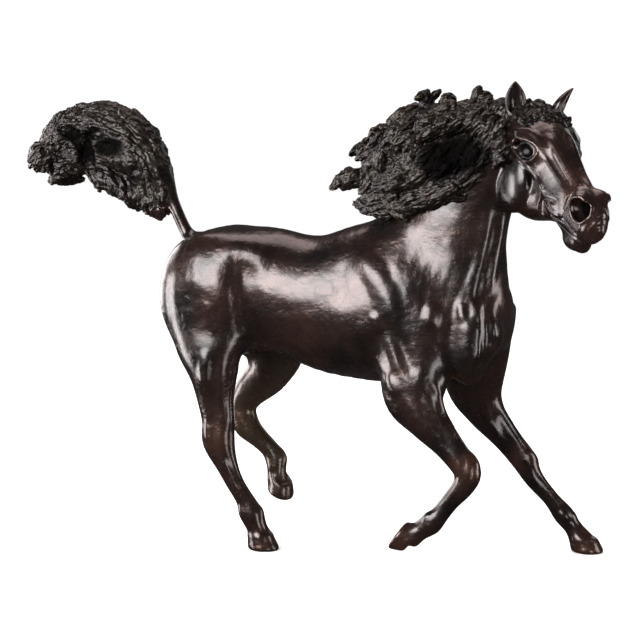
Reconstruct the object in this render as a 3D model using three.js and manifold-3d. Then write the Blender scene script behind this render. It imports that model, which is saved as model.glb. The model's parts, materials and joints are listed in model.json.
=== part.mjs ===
// Bronze horse statue: a free-standing horse in motion, cast by lost wax in sections.
// Millimetres. +X runs towards the head, +Y towards the horse's left side, +Z up.
// The origin is the middle of the bounding box's bottom face, so the two standing hooves are at Z = 0.

import * as THREE from 'three';
import { LoftGeometry } from 'three/addons/geometries/LoftGeometry.js';
import { mergeVertices } from 'three/addons/utils/BufferGeometryUtils.js';
import Module from 'manifold-3d';

const wasm = await Module();
wasm.setup();

// ---- driving dimensions -------------------------------------------------------------------------

const SNAP = 0.001;
const GAP = 0.3; // clearance across every seam between two castings
const WALL = 5; // thickness of the hollow castings
const HAIR_WALL = 9; // the rough hair is cast thicker
const DOWEL_RADIUS = 4;
const DOWEL_REACH = 14; // how far a dowel goes into the casting on each side of its seam
const SLEEVE_WALL = 2.5;
const SLEEVE_REACH = 9; // how far a backing ring goes to each side of its seam
const PLUG_RADIUS = 5;

const HOOF = { length: 35, width: 30, height: 15, coronet: 0.72 };
const HEAD_LENGTH = 160;
const HEAD_YAW = -47; // degrees from +X, turned to the horse's right
const HEAD_PITCH = 31; // degrees nose down
const POLL = new THREE.Vector3(228, -40, 443);
const HAIR_SIDES = 6;

const LEG_SIDES = 10;
const BODY_SIDES = 18;
const NECK_SIDES = 14;
const HEAD_SIDES = 14;

const UP = new THREE.Vector3(0, 0, 1);
const LEFT = new THREE.Vector3(0, 1, 0);

// ---- from geometry to solid and back ------------------------------------------------------------

// Corners are snapped to a fine grid first, so that a cap shares its corners with the side it closes.
function solid(geometry) {
  const snapped = Array.from(geometry.attributes.position.array, (v) => Math.round(v / SNAP) * SNAP);
  const bare = new THREE.BufferGeometry();
  bare.setAttribute('position', new THREE.Float32BufferAttribute(snapped, 3));
  bare.setIndex(geometry.index);
  const merged = mergeVertices(bare, SNAP / 10);
  const mesh = new wasm.Mesh({
    numProp: 3,
    vertProperties: Float32Array.from(merged.attributes.position.array),
    triVerts: Uint32Array.from(merged.index.array),
  });
  return new wasm.Manifold(mesh);
}

function largestBody(body) {
  return body.decompose().reduce((a, b) => (a.volume() > b.volume() ? a : b));
}

function join(...solids) {
  return solids.reduce((a, b) => a.add(b));
}

// The side of a solid that a seam's normal points to, held back from the seam by half a gap.
function beyond(body, seam) {
  return body.trimByPlane(seam.normal.toArray(), seam.normal.dot(seam.point) + GAP / 2);
}

function before(body, seam) {
  const back = seam.normal.clone().negate();
  return body.trimByPlane(back.toArray(), back.dot(seam.point) + GAP / 2);
}

function seamAt(point, normal) {
  return { point: new THREE.Vector3(...point), normal: new THREE.Vector3(...normal).normalize() };
}

// ---- lofted forms -------------------------------------------------------------------------------

// A station is the centre of a cross-section, its half-depth fore and aft, and its half-width sideways.
function station(x, y, z, deep, wide) {
  return { centre: new THREE.Vector3(x, y, z), size: new THREE.Vector3(deep, wide, 0) };
}

// The same form drawn in by a distance all over, its two ends included.
function shrink(stations, by) {
  const drawIn = (end, next) => end.clone().add(next.clone().sub(end).setLength(by));
  const centres = stations.map((s) => s.centre);
  const last = centres.length - 1;
  return stations.map(({ size }, i) => {
    let centre = centres[i];
    if (i === 0) centre = drawIn(centres[0], centres[1]);
    if (i === last) centre = drawIn(centres[last], centres[last - 1]);
    return { centre, size: new THREE.Vector3(size.x - by, size.y - by, 0) };
  });
}

// An oval ring square to the direction of travel. Its width lies along side, as far as that can be.
function ring(centre, travel, side, deep, wide, count) {
  const across = side.clone().addScaledVector(travel, -side.dot(travel)).normalize();
  const fore = new THREE.Vector3().crossVectors(travel, across);
  return Array.from({ length: count }, (_, i) => {
    const angle = (2 * Math.PI * i) / count;
    return centre
      .clone()
      .addScaledVector(across, wide * Math.cos(angle))
      .addScaledVector(fore, deep * Math.sin(angle));
  });
}

// A smooth limb through the stations. side is the direction that its width is measured in.
function limb(stations, { rings, sides, side = LEFT }) {
  const spine = new THREE.CatmullRomCurve3(stations.map((s) => s.centre), false, 'centripetal');
  const sizes = new THREE.CatmullRomCurve3(stations.map((s) => s.size), false, 'catmullrom', 0.5);
  const sections = Array.from({ length: rings }, (_, i) => {
    const t = i / (rings - 1);
    const size = sizes.getPoint(t);
    return ring(spine.getPoint(t), spine.getTangent(t), side, size.x, size.y, sides);
  });
  return solid(new LoftGeometry(sections, { closed: true, capStart: true, capEnd: true }));
}

function ellipsoid(centre, radii, turn = [0, 0, 0], segments = 8) {
  const geometry = new THREE.SphereGeometry(1, segments, Math.round(segments * 0.7));
  const euler = new THREE.Euler(...turn.map(THREE.MathUtils.degToRad));
  const matrix = new THREE.Matrix4().compose(
    new THREE.Vector3(...centre),
    new THREE.Quaternion().setFromEuler(euler),
    new THREE.Vector3(...radii),
  );
  return solid(geometry.applyMatrix4(matrix));
}

function rod(from, to, radius, sides = 12) {
  const travel = new THREE.Vector3().subVectors(to, from);
  const geometry = new THREE.CylinderGeometry(radius, radius, travel.length(), sides);
  const turn = new THREE.Quaternion().setFromUnitVectors(LEFT, travel.clone().normalize());
  geometry.applyQuaternion(turn);
  const middle = new THREE.Vector3().addVectors(from, to).divideScalar(2);
  return solid(geometry.translate(...middle.toArray()));
}

// A dowel across a seam, and the slightly larger hole that both castings get for it.
function dowelAcross(seam, radius = DOWEL_RADIUS, reach = DOWEL_REACH) {
  const ends = [-1, 1].map((k) => seam.point.clone().addScaledVector(seam.normal, k * reach));
  const holeEnds = [-1, 1].map((k) => seam.point.clone().addScaledVector(seam.normal, k * (reach + 1)));
  return { pin: rod(...ends, radius), hole: rod(...holeEnds, radius + GAP) };
}

// ---- legs ---------------------------------------------------------------------------------------

// A hoof with its sole on the plane Z = 0 of its own axes, toe along +X, wider at the sole.
function hoof(placement) {
  const { length, width, height, coronet } = HOOF;
  const levels = [0, 0.12, 0.5, 1];
  const sections = levels.map((level) => {
    const k = 1 - (1 - coronet) * level - (level === 0 ? 0.04 : 0);
    const back = -length * 0.16 * level;
    const middle = new THREE.Vector3(back, 0, height * level);
    return ring(middle, UP, LEFT, (length / 2) * k, (width / 2) * k, LEG_SIDES);
  });
  const geometry = new LoftGeometry(sections, { closed: true, capStart: true, capEnd: true });
  return solid(geometry.applyMatrix4(placement));
}

// Places a hoof's sole at a point. pitch tips the toe down, and turn swings it to the left.
function hoofAt(x, y, z, pitch, turn) {
  const euler = new THREE.Euler(0, THREE.MathUtils.degToRad(pitch), THREE.MathUtils.degToRad(turn), 'ZYX');
  return new THREE.Matrix4().makeRotationFromEuler(euler).setPosition(x, y, z);
}

const LEGS = {
  right_hind: {
    stations: [
      station(-92, -26, 272, 52, 22),
      station(-101, -33, 228, 48, 24),
      station(-102, -39, 204, 39, 23),
      station(-100, -42, 176, 26, 20),
      station(-96, -43, 150, 18.5, 15),
      station(-94, -43, 128, 16, 12),
      station(-93, -43, 106, 18.5, 12.5),
      station(-84, -42, 84, 13, 10.5),
      station(-75, -42, 66, 10, 8.5),
      station(-65, -41, 50, 10.5, 8.5),
      station(-58, -40, 35, 14, 10.5),
      station(-53, -39, 22, 11, 10),
      station(-48, -38, 9, 12, 11.5),
    ],
    bumps: [ellipsoid([-106, -43, 112], [9, 6, 11], [0, 20, 0]), ellipsoid([-68, -40, 31], [6, 6, 5])],
    hoof: hoofAt(-46, -38, 0, 0, 0),
    seam: seamAt([-99, -42, 176], [-0.06, 0.1, -1]),
  },
  left_hind: {
    stations: [
      station(-86, 26, 272, 52, 22),
      station(-80, 33, 232, 46, 24),
      station(-66, 40, 196, 37, 22),
      station(-72, 41, 168, 25, 18),
      station(-92, 40, 146, 18, 14),
      station(-103, 40, 130, 14.5, 12),
      station(-97, 39, 112, 15.5, 11.5),
      station(-82, 38, 99, 11.5, 9.5),
      station(-68, 37, 88, 10.5, 8.5),
      station(-60, 37, 77, 12.5, 10),
      station(-59, 36, 66, 10.5, 9.5),
      station(-58, 36, 57, 11.5, 11),
    ],
    bumps: [ellipsoid([-110, 39, 124], [8, 6, 10], [0, 20, 0]), ellipsoid([-70, 37, 74], [6, 6, 5])],
    hoof: hoofAt(-55, 36, 43, 28, -40),
    seam: seamAt([-71, 41, 172], [-0.25, 0, -1]),
  },
  right_fore: {
    stations: [
      station(122, -28, 262, 46, 20),
      station(112, -36, 220, 44, 23),
      station(112, -43, 184, 35, 22),
      station(115, -47, 163, 31, 19),
      station(129, -50, 142, 20.5, 16),
      station(146, -52, 125, 15.5, 13.5),
      station(159, -54, 111, 14, 12),
      station(170, -55, 97, 14, 12),
      station(166, -56, 83, 11.5, 10),
      station(154, -57, 68, 9.5, 8),
      station(144, -57, 55, 9.5, 8),
      station(134, -57, 44, 12, 10),
      station(124, -57, 37, 10, 9),
      station(114, -57, 30, 11.5, 11),
    ],
    bumps: [ellipsoid([176, -55, 99], [9, 9, 12]), ellipsoid([125, -57, 48], [6, 6, 5])],
    hoof: hoofAt(100, -57, 31, 125, 0),
    seam: seamAt([117, -47, 160], [0.35, -0.1, -1]),
  },
  left_fore: {
    stations: [
      station(156, 18, 250, 42, 20),
      station(152, 28, 205, 37, 23),
      station(150, 38, 166, 30, 20),
      station(160, 43, 140, 20, 16),
      station(174, 47, 121, 15.5, 13.5),
      station(186, 50, 106, 14, 12),
      station(197, 52, 92, 13.5, 12),
      station(208, 55, 72, 10.5, 9),
      station(225, 58, 52, 8.7, 8),
      station(237, 60, 37, 11.5, 10),
      station(247, 61, 24, 9.5, 9),
      station(257, 62, 10, 12, 11.5),
    ],
    bumps: [ellipsoid([204, 52, 96], [9, 9, 12]), ellipsoid([230, 60, 31], [6, 6, 5])],
    hoof: hoofAt(262, 62, 0, 0, 0),
    seam: seamAt([154, 38, 160], [0.35, 0.1, -1]),
  },
};

function wholeLeg(leg) {
  const shaft = limb(leg.stations, { rings: 17, sides: LEG_SIDES });
  return join(shaft, hoof(leg.hoof), ...leg.bumps);
}

// ---- torso and neck -----------------------------------------------------------------------------

// Stations of the barrel run from the buttocks to the chest, which bends a little to the right.
const BARREL = [
  station(-154, 0, 258, 26, 22),
  station(-142, 0, 256, 47, 44),
  station(-118, 0, 256, 62, 56),
  station(-88, 0, 257, 67, 60),
  station(-52, 0, 258, 63, 57),
  station(-20, 0, 252, 63, 54),
  station(18, 0, 247, 71, 57),
  station(58, -1, 250, 79, 57),
  station(98, -4, 254, 78, 56),
  station(138, -7, 250, 68, 54),
  station(168, -10, 244, 52, 45),
  station(188, -12, 240, 32, 30),
  station(196, -12, 238, 16, 15),
];

// Thigh, shoulder and chest muscles that stand out of the barrel, made smaller by inset.
function muscles(inset) {
  const forms = [
    { at: [-114, -31, 257], size: [46, 27, 60], lean: 12 },
    { at: [-110, 31, 257], size: [46, 27, 60], lean: 12 },
    { at: [122, -34, 238], size: [42, 25, 56], lean: -20 },
    { at: [128, 26, 240], size: [42, 25, 56], lean: -20 },
    { at: [171, -35, 233], size: [24, 20, 34], lean: -18 },
    { at: [174, 8, 236], size: [21, 19, 32], lean: -18 },
  ];
  return forms.map(({ at, size, lean }) => ellipsoid(at, size.map((r) => r - inset), [0, lean, 0], 9));
}

// Stations of the neck run from the shoulders to the poll.
const NECK = [
  station(110, -3, 262, 66, 44),
  station(127, -6, 298, 72, 43),
  station(141, -10, 332, 60, 36),
  station(158, -16, 362, 49, 30),
  station(177, -24, 388, 41, 27),
  station(197, -35, 405, 36, 25),
  station(212, -46, 412, 32, 23),
];
const NECK_SIDE = new THREE.Vector3(0.2, 1, 0);

const NECK_SEAM = seamAt([138, -8, 312], [0.42, -0.16, 1]);
const TAIL_SEAM = seamAt([-146, 0, 311], [-0.55, 0, 1]);

const neckOptions = { rings: 9, sides: NECK_SIDES, side: NECK_SIDE };
const barrel = limb(BARREL, { rings: 15, sides: BODY_SIDES });
const fullNeck = limb(NECK, neckOptions);
const neckCore = limb(shrink(NECK, WALL), neckOptions);
const neckOutside = limb(shrink(NECK, -GAP), neckOptions);
const neckLiner = limb(shrink(NECK, WALL + GAP), neckOptions).subtract(
  limb(shrink(NECK, WALL + GAP + SLEEVE_WALL), neckOptions),
);
const MID_NECK = seamAt([165, -18, 362], [0.42, -0.3, 1]);

// ---- head, in its own axes: +X to the nose, +Y to the horse's left, +Z out of the forehead ----------

const HEAD_PLACE = new THREE.Matrix4()
  .makeRotationFromEuler(
    new THREE.Euler(0, THREE.MathUtils.degToRad(HEAD_PITCH), THREE.MathUtils.degToRad(HEAD_YAW), 'ZYX'),
  )
  .setPosition(POLL);

// A seam square to the head, given in the head's own axes.
function headSeam(along, out) {
  const point = new THREE.Vector3(along, 0, out).applyMatrix4(HEAD_PLACE);
  const normal = new THREE.Vector3(1, 0, 0).transformDirection(HEAD_PLACE);
  return { point, normal };
}

const HEAD_SEAM = headSeam(-8, -34);
const FORELOCK_SEAM = headSeam(-5, 0);

// One cross-section of the head: how far along it is, its top and bottom, and its half-width.
function headSection(along, top, bottom, wide) {
  const k = HEAD_LENGTH / 160;
  return station(along * k, 0, ((top + bottom) / 2) * k, ((top - bottom) / 2) * k, wide * k);
}

const HEAD = [
  headSection(-14, -14, -56, 17),
  headSection(-4, -5, -74, 24),
  headSection(10, 1, -88, 29),
  headSection(28, 5, -95, 32),
  headSection(46, 5, -94, 33),
  headSection(62, 2, -84, 29),
  headSection(80, -3, -73, 23.5),
  headSection(98, -7, -62, 19),
  headSection(116, -8, -60, 17),
  headSection(132, -7, -62, 18),
  headSection(146, -9, -58, 16),
  headSection(156, -16, -50, 11),
  headSection(161, -24, -42, 6),
];

const headOptions = { rings: 15, sides: HEAD_SIDES };

function inHeadPlace(body) {
  return body.transform(HEAD_PLACE.toArray());
}

function mirrored(make) {
  return [make(-1), make(1)];
}

const headSolid = inHeadPlace(
  join(
    limb(HEAD, headOptions),
    ...mirrored((s) => ellipsoid([30, s * 20, -62], [30, 13, 32])), // cheeks
    ...mirrored((s) => ellipsoid([44, s * 26, -15], [16, 8, 11])), // eye sockets
    ...mirrored((s) => ellipsoid([134, s * 11, -18], [13, 8, 12])), // nostrils
    ellipsoid([130, 0, -60], [14, 10, 11]), // chin
  ),
);
const headCore = inHeadPlace(limb(shrink(HEAD.slice(0, 8), WALL + 2), headOptions));

// The right ear stands up and the left one leans out. lean is how far the tip moves, in the head's axes.
const EARS = {
  ear_right: { base: [1, -19, -6], lean: [-9, -1, 30] },
  ear_left: { base: [5, 20, -6], lean: [-8, 13, 28] },
};

function ear({ base, lean }, growth = 0) {
  const shape = [
    [0, 6, 7.5],
    [0.3, 7.5, 9.5],
    [0.6, 6.5, 8],
    [0.85, 3.5, 4.5],
    [1, 0.8, 1],
  ];
  const stations = shape.map(([t, deep, wide]) =>
    station(base[0] + t * lean[0], base[1] + t * lean[1], base[2] + t * lean[2], deep, wide),
  );
  return inHeadPlace(limb(shrink(stations, -growth), { rings: 7, sides: 8 }));
}

// ---- hair ---------------------------------------------------------------------------------------

// A lock of hair: a curved, tapering, slightly flattened loft.
function lock(from, bend, to, thick, side = LEFT) {
  const stations = [from, bend, to].map((p, i) => {
    const size = thick * [1, 0.9, 0.35][i];
    return station(...p, size, size * 0.75);
  });
  return limb(stations, { rings: 5, sides: HAIR_SIDES, side });
}

// The mane is blown back off the crest. Its upper and lower edges run from the poll to the rear tip, and
// rows of locks between them overlap like shingles on the near and the far side.
const MANE_TOP = curve(
  [212, -36, 442],
  [182, -28, 446],
  [148, -18, 444],
  [106, -10, 436],
  [66, -7, 408],
  [46, -6, 380],
);
const MANE_EDGE = curve(
  [205, -58, 396],
  [184, -54, 378],
  [158, -48, 364],
  [122, -38, 350],
  [86, -26, 344],
  [60, -16, 352],
);
const MANE_FAR = curve(
  [210, -10, 414],
  [184, 2, 404],
  [156, 10, 394],
  [122, 14, 378],
  [92, 14, 364],
  [66, 10, 358],
);
const MANE_ROWS = [
  { from: MANE_EDGE, to: MANE_TOP, level: 0.1, out: -4, thick: 15, count: 5 },
  { from: MANE_EDGE, to: MANE_TOP, level: 0.42, out: -9, thick: 16, count: 5 },
  { from: MANE_EDGE, to: MANE_TOP, level: 0.74, out: -6, thick: 16, count: 5 },
  { from: MANE_FAR, to: MANE_TOP, level: 0.92, out: 6, thick: 15, count: 5 },
  { from: MANE_FAR, to: MANE_TOP, level: 0.3, out: 5, thick: 16, count: 5 },
];
const LOCK_SPAN = 0.26; // how far along the mane one lock runs, as a share of the whole

function curve(...points) {
  return new THREE.CatmullRomCurve3(points.map((p) => new THREE.Vector3(...p)));
}

function maneLocks() {
  const rearTips = [
    lock([84, -12, 392], [58, -10, 383], [32, -8, 374], 11),
    lock([84, -14, 352], [66, -14, 344], [49, -14, 342], 10),
  ];
  const rows = MANE_ROWS.flatMap(({ from, to, level, out, thick, count }, row) => {
    const along = (t) => from.getPoint(t).lerp(to.getPoint(t), level);
    return Array.from({ length: count }, (_, i) => {
      const sway = Math.sin(2.4 * i + 1.7 * row);
      const start = ((1 - LOCK_SPAN) * i) / (count - 1);
      const root = along(start);
      const bend = along(start + LOCK_SPAN * 0.55).add(new THREE.Vector3(0, out, 2 + 2 * sway));
      const tip = along(start + LOCK_SPAN).add(new THREE.Vector3(-4 - 4 * sway, out * 1.6, 4 * sway));
      return lock(root.toArray(), bend.toArray(), tip.toArray(), thick + sway);
    });
  });
  return [...rows, ...rearTips];
}

// The solid middle of the mane, between its near and far sides.
const maneRidge = limb(
  [0, 0.2, 0.4, 0.6, 0.8, 0.97].map((t) => {
    const near = MANE_EDGE.getPoint(t).lerp(MANE_FAR.getPoint(t), 0.5);
    const middle = near.lerp(MANE_TOP.getPoint(t), 0.45);
    return station(middle.x, middle.y, middle.z, 24 - 12 * t * t, 22 - 10 * t * t);
  }),
  { rings: 9, sides: 10 },
);

const FORELOCK_CURLS = [
  [-20, 4],
  [-11, 10],
  [-2, 13],
  [7, 12],
  [16, 8],
  [23, 2],
];

function forelock() {
  const base = ellipsoid([13, 0, 2], [17, 23, 8]);
  const curls = FORELOCK_CURLS.map(([across, lift], i) => {
    const rise = 2 + lift * 0.4;
    const reach = 33 - 4 * (i % 2);
    return lock([0, across * 0.7, rise], [16, across, rise + 2], [reach, across * 1.1, 1], 8);
  });
  return inHeadPlace(join(base, ...curls));
}

// The dock rises from the croup, and the plume sweeps up and over to the rear.
const DOCK = [
  station(-138, 0, 300, 11, 10),
  station(-147, 0, 314, 10.5, 9.5),
  station(-154, 0, 330, 9, 8.5),
  station(-161, 1, 348, 9, 9),
  station(-166, 2, 366, 9, 9),
];
const PLUME = [
  station(-161, 1, 340, 10, 10),
  station(-174, 3, 360, 18, 17),
  station(-190, 5, 383, 27, 23),
  station(-212, 8, 401, 36, 28),
  station(-238, 12, 409, 40, 30),
  station(-264, 14, 407, 38, 28),
];
const LOBE = [
  station(-250, 13, 410, 39, 28),
  station(-272, 15, 403, 38, 29),
  station(-290, 16, 391, 31, 26),
  station(-302, 16, 380, 18, 17),
];
const PLUME_SEAM = seamAt([-160, 1, 345], [-0.3, 0.05, 1]);
const LOBE_SEAM = seamAt([-252, 13, 414], [-1, 0.1, -0.25]);
const PLUME_LOCKS = 7;

// Locks that fan out of the dock's end along the underside of the plume.
function plumeLocks() {
  return Array.from({ length: PLUME_LOCKS }, (_, i) => {
    const t = i / (PLUME_LOCKS - 1);
    const y = 6 + 16 * Math.sin(2.1 * i);
    const tip = [-192 - 68 * t, y, 343 + 27 * t];
    return lock([-172 - 14 * t, 3, 358 + 26 * t], [-184 - 38 * t, y * 0.8, 350 + 34 * t], tip, 13);
  });
}

// ---- assembly of the castings ---------------------------------------------------------------------

const legSolids = Object.fromEntries(Object.entries(LEGS).map(([name, leg]) => [name, wholeLeg(leg)]));
const legDowels = Object.fromEntries(
  Object.entries(LEGS).map(([name, leg]) => [name, dowelAcross(leg.seam)]),
);
const tailDowel = dowelAcross(TAIL_SEAM, 3, 10);
const plumeDowel = dowelAcross(PLUME_SEAM, 3, 12);

function torsoCasting() {
  const stumps = Object.entries(LEGS).map(([name, leg]) => before(legSolids[name], leg.seam));
  const dockStump = before(limb(DOCK, { rings: 8, sides: 12 }), TAIL_SEAM);
  const skin = join(barrel, ...muscles(0), ...stumps, before(fullNeck, NECK_SEAM), dockStump);
  const core = join(limb(shrink(BARREL, WALL), { rings: 11, sides: 12 }), ...muscles(WALL));
  const holes = [...Object.values(legDowels), tailDowel].map((d) => d.hole);
  const open = before(skin, NECK_SEAM).subtract(join(core, neckCore, ...holes, ...plugs.map((p) => p.hole)));
  return largestBody(open);
}

// Round plugs in the belly wall, where the core was held in the mould.
function plugAt(x) {
  const bottom = new THREE.Vector3(x, -1, 100);
  const top = new THREE.Vector3(x, -1, 240);
  const wall = limb(BARREL, { rings: 15, sides: BODY_SIDES }).subtract(
    limb(shrink(BARREL, WALL), { rings: 11, sides: 12 }),
  );
  return {
    hole: rod(bottom, top, PLUG_RADIUS),
    plug: wall.intersect(rod(bottom, top, PLUG_RADIUS - GAP)),
  };
}

const plugs = [24, -24].map(plugAt);

function neckCasting() {
  const edge = HEAD_SEAM.point.clone().addScaledVector(HEAD_SEAM.normal, -GAP);
  const pastHeadSeam = beyond(beyond(neckOutside, MID_NECK), { point: edge, normal: HEAD_SEAM.normal });
  return largestBody(beyond(fullNeck, NECK_SEAM).subtract(join(neckCore, pastHeadSeam)));
}

function headCasting() {
  const kept = beyond(headSolid, HEAD_SEAM);
  return largestBody(kept.subtract(headCore).subtract(neckCore));
}

// A backing ring inside the hollow neck, reaching to both sides of a seam.
function sleeve(seam, liner) {
  const low = { point: seam.point.clone().addScaledVector(seam.normal, -SLEEVE_REACH), normal: seam.normal };
  const high = { point: seam.point.clone().addScaledVector(seam.normal, SLEEVE_REACH), normal: seam.normal };
  return largestBody(before(beyond(liner, low), high));
}

const bodyOutside = join(limb(shrink(BARREL, -GAP), { rings: 15, sides: BODY_SIDES }), neckOutside);
const headOutside = inHeadPlace(limb(shrink(HEAD, -GAP), headOptions));
const ears = Object.entries(EARS).map(([name, shape]) => [name, ear(shape)]);
const earsOutside = join(...Object.values(EARS).map((shape) => ear(shape, GAP)));
const forelockSolid = beyond(forelock(), FORELOCK_SEAM).subtract(join(headOutside, neckOutside, earsOutside));

const maneOnNeck = before(join(maneRidge, ...maneLocks()), FORELOCK_SEAM).subtract(
  join(bodyOutside, headOutside, earsOutside),
);
const MANE_SEAMS = [92, 132, 170].map((x) => seamAt([x, 0, 400], [1, 0, 0.25]));

function maneCastings() {
  const names = ['mane_lower', 'mane_middle', 'mane_upper', 'mane_crown'];
  return names.map((name, i) => {
    const cutBelow = i > 0 ? beyond(maneOnNeck, MANE_SEAMS[i - 1]) : maneOnNeck;
    const cutBoth = i < MANE_SEAMS.length ? before(cutBelow, MANE_SEAMS[i]) : cutBelow;
    return [`${name}_casting`, largestBody(cutBoth)];
  });
}

function tailCastings() {
  const dock = limb(DOCK, { rings: 8, sides: 12 });
  const plume = join(limb(PLUME, { rings: 10, sides: 14 }), ...plumeLocks());
  const lobe = limb(LOBE, { rings: 7, sides: 14 });
  const hollow = { rings: 6, sides: 8 };
  const core = join(limb(shrink(PLUME.slice(1), HAIR_WALL), hollow), limb(shrink(LOBE, HAIR_WALL), hollow));
  const freeDock = before(beyond(dock, TAIL_SEAM), PLUME_SEAM).subtract(tailDowel.hole);
  const freePlume = before(beyond(plume, PLUME_SEAM), LOBE_SEAM);
  return [
    ['tail_dock_casting', largestBody(freeDock.subtract(plumeDowel.hole))],
    ['tail_plume_casting', largestBody(freePlume.subtract(join(core, plumeDowel.hole)))],
    ['tail_lobe_casting', largestBody(beyond(lobe, LOBE_SEAM).subtract(core))],
  ];
}

function legCastings() {
  return Object.entries(LEGS).map(([name, leg]) => {
    const below = beyond(legSolids[name], leg.seam).subtract(legDowels[name].hole);
    return [`leg_${name}_casting`, largestBody(below)];
  });
}

// ---- materials and the scene graph ----------------------------------------------------------------

const bronze = (color, roughness) => () => new THREE.MeshStandardMaterial({ color, roughness, metalness: 1 });
const smoothBronze = bronze(0x2b1c17, 0.28);
const hairBronze = bronze(0x2a211a, 0.45);
const rawBronze = bronze(0x8a6436, 0.5);
const steel = bronze(0x9a9ca0, 0.4);

const pieces = [
  ['torso_casting', torsoCasting(), smoothBronze],
  ['neck_casting', neckCasting(), smoothBronze],
  ['head_casting', headCasting(), smoothBronze],
  ...ears.map(([name, body]) => [name, largestBody(body.subtract(headOutside)), smoothBronze]),
  ['forelock_casting', largestBody(forelockSolid), hairBronze],
  ...maneCastings().map((piece) => [...piece, hairBronze]),
  ...tailCastings().map((piece) => [...piece, hairBronze]),
  ...legCastings().map((piece) => [...piece, smoothBronze]),
  ...Object.entries(legDowels).map(([name, dowel]) => [`dowel_${name}`, dowel.pin, steel]),
  ['dowel_tail', tailDowel.pin, steel],
  ['dowel_plume', plumeDowel.pin, steel],
  ['neck_sleeve', sleeve(NECK_SEAM, before(neckLiner, MID_NECK)), rawBronze],
  ['head_sleeve', sleeve(HEAD_SEAM, beyond(neckLiner, MID_NECK)), rawBronze],
  ['core_plug_front', plugs[0].plug, rawBronze],
  ['core_plug_rear', plugs[1].plug, rawBronze],
];

function toMesh([name, body, material]) {
  const { vertProperties, triVerts } = body.getMesh();
  const geometry = new THREE.BufferGeometry();
  geometry.setAttribute('position', new THREE.BufferAttribute(vertProperties, 3));
  geometry.setIndex(new THREE.BufferAttribute(triVerts, 1));
  geometry.computeVertexNormals();
  const mesh = new THREE.Mesh(geometry, material());
  mesh.name = name;
  return mesh;
}

const horse = new THREE.Group();
horse.add(...pieces.map(toMesh));

const box = new THREE.Box3().setFromObject(horse);
const middle = box.getCenter(new THREE.Vector3());
horse.position.set(-middle.x, -middle.y, -box.min.z);

export default horse;
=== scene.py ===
import json
import math
from concurrent.futures import ThreadPoolExecutor

import bmesh
import bpy
import numpy as np
import openvdb as vdb
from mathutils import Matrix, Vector


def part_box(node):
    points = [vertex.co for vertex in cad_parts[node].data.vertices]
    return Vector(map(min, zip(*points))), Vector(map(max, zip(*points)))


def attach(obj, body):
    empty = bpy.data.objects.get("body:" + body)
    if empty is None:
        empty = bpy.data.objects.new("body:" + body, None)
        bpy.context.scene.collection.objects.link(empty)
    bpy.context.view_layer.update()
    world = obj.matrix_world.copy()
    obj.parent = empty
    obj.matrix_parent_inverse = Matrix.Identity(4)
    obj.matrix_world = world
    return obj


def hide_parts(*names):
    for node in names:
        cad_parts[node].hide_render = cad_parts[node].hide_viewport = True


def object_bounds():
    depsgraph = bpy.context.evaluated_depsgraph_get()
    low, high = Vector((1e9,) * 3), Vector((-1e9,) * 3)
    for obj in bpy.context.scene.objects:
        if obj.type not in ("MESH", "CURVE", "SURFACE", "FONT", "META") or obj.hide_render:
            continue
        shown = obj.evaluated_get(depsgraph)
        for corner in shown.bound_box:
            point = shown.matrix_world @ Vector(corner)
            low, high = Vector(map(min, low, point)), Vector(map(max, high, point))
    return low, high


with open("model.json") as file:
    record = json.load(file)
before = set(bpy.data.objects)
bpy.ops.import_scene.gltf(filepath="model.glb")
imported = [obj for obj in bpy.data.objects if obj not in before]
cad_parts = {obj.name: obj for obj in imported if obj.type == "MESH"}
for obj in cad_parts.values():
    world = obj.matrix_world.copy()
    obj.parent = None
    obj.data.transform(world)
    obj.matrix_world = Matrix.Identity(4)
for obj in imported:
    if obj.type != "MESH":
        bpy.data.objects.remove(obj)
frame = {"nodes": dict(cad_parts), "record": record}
cad_low, cad_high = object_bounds()

# ---- sculpting axes: millimetres, origin on the ground midway between the two core plugs ----------------

front_plug = [Vector(c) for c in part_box("core_plug_front")]
rear_plug = [Vector(c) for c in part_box("core_plug_rear")]
plug_middle = sum(front_plug + rear_plug, Vector()) / 4
ORIGIN = np.array([plug_middle.x, plug_middle.y + 0.001, cad_low.z])


def to_row(points):
    return np.asarray(points, float) / 1000 + ORIGIN


# ---- clay: blocks of signed distance, negative inside the metal -----------------------------------------

FAR = 50.0


def smin(a, b, k):
    h = np.maximum(k - np.abs(a - b), 0) / k
    return np.minimum(a, b) - h * h * (k / 4)


def smax(a, b, k):
    return -smin(-a, -b, k)


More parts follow.
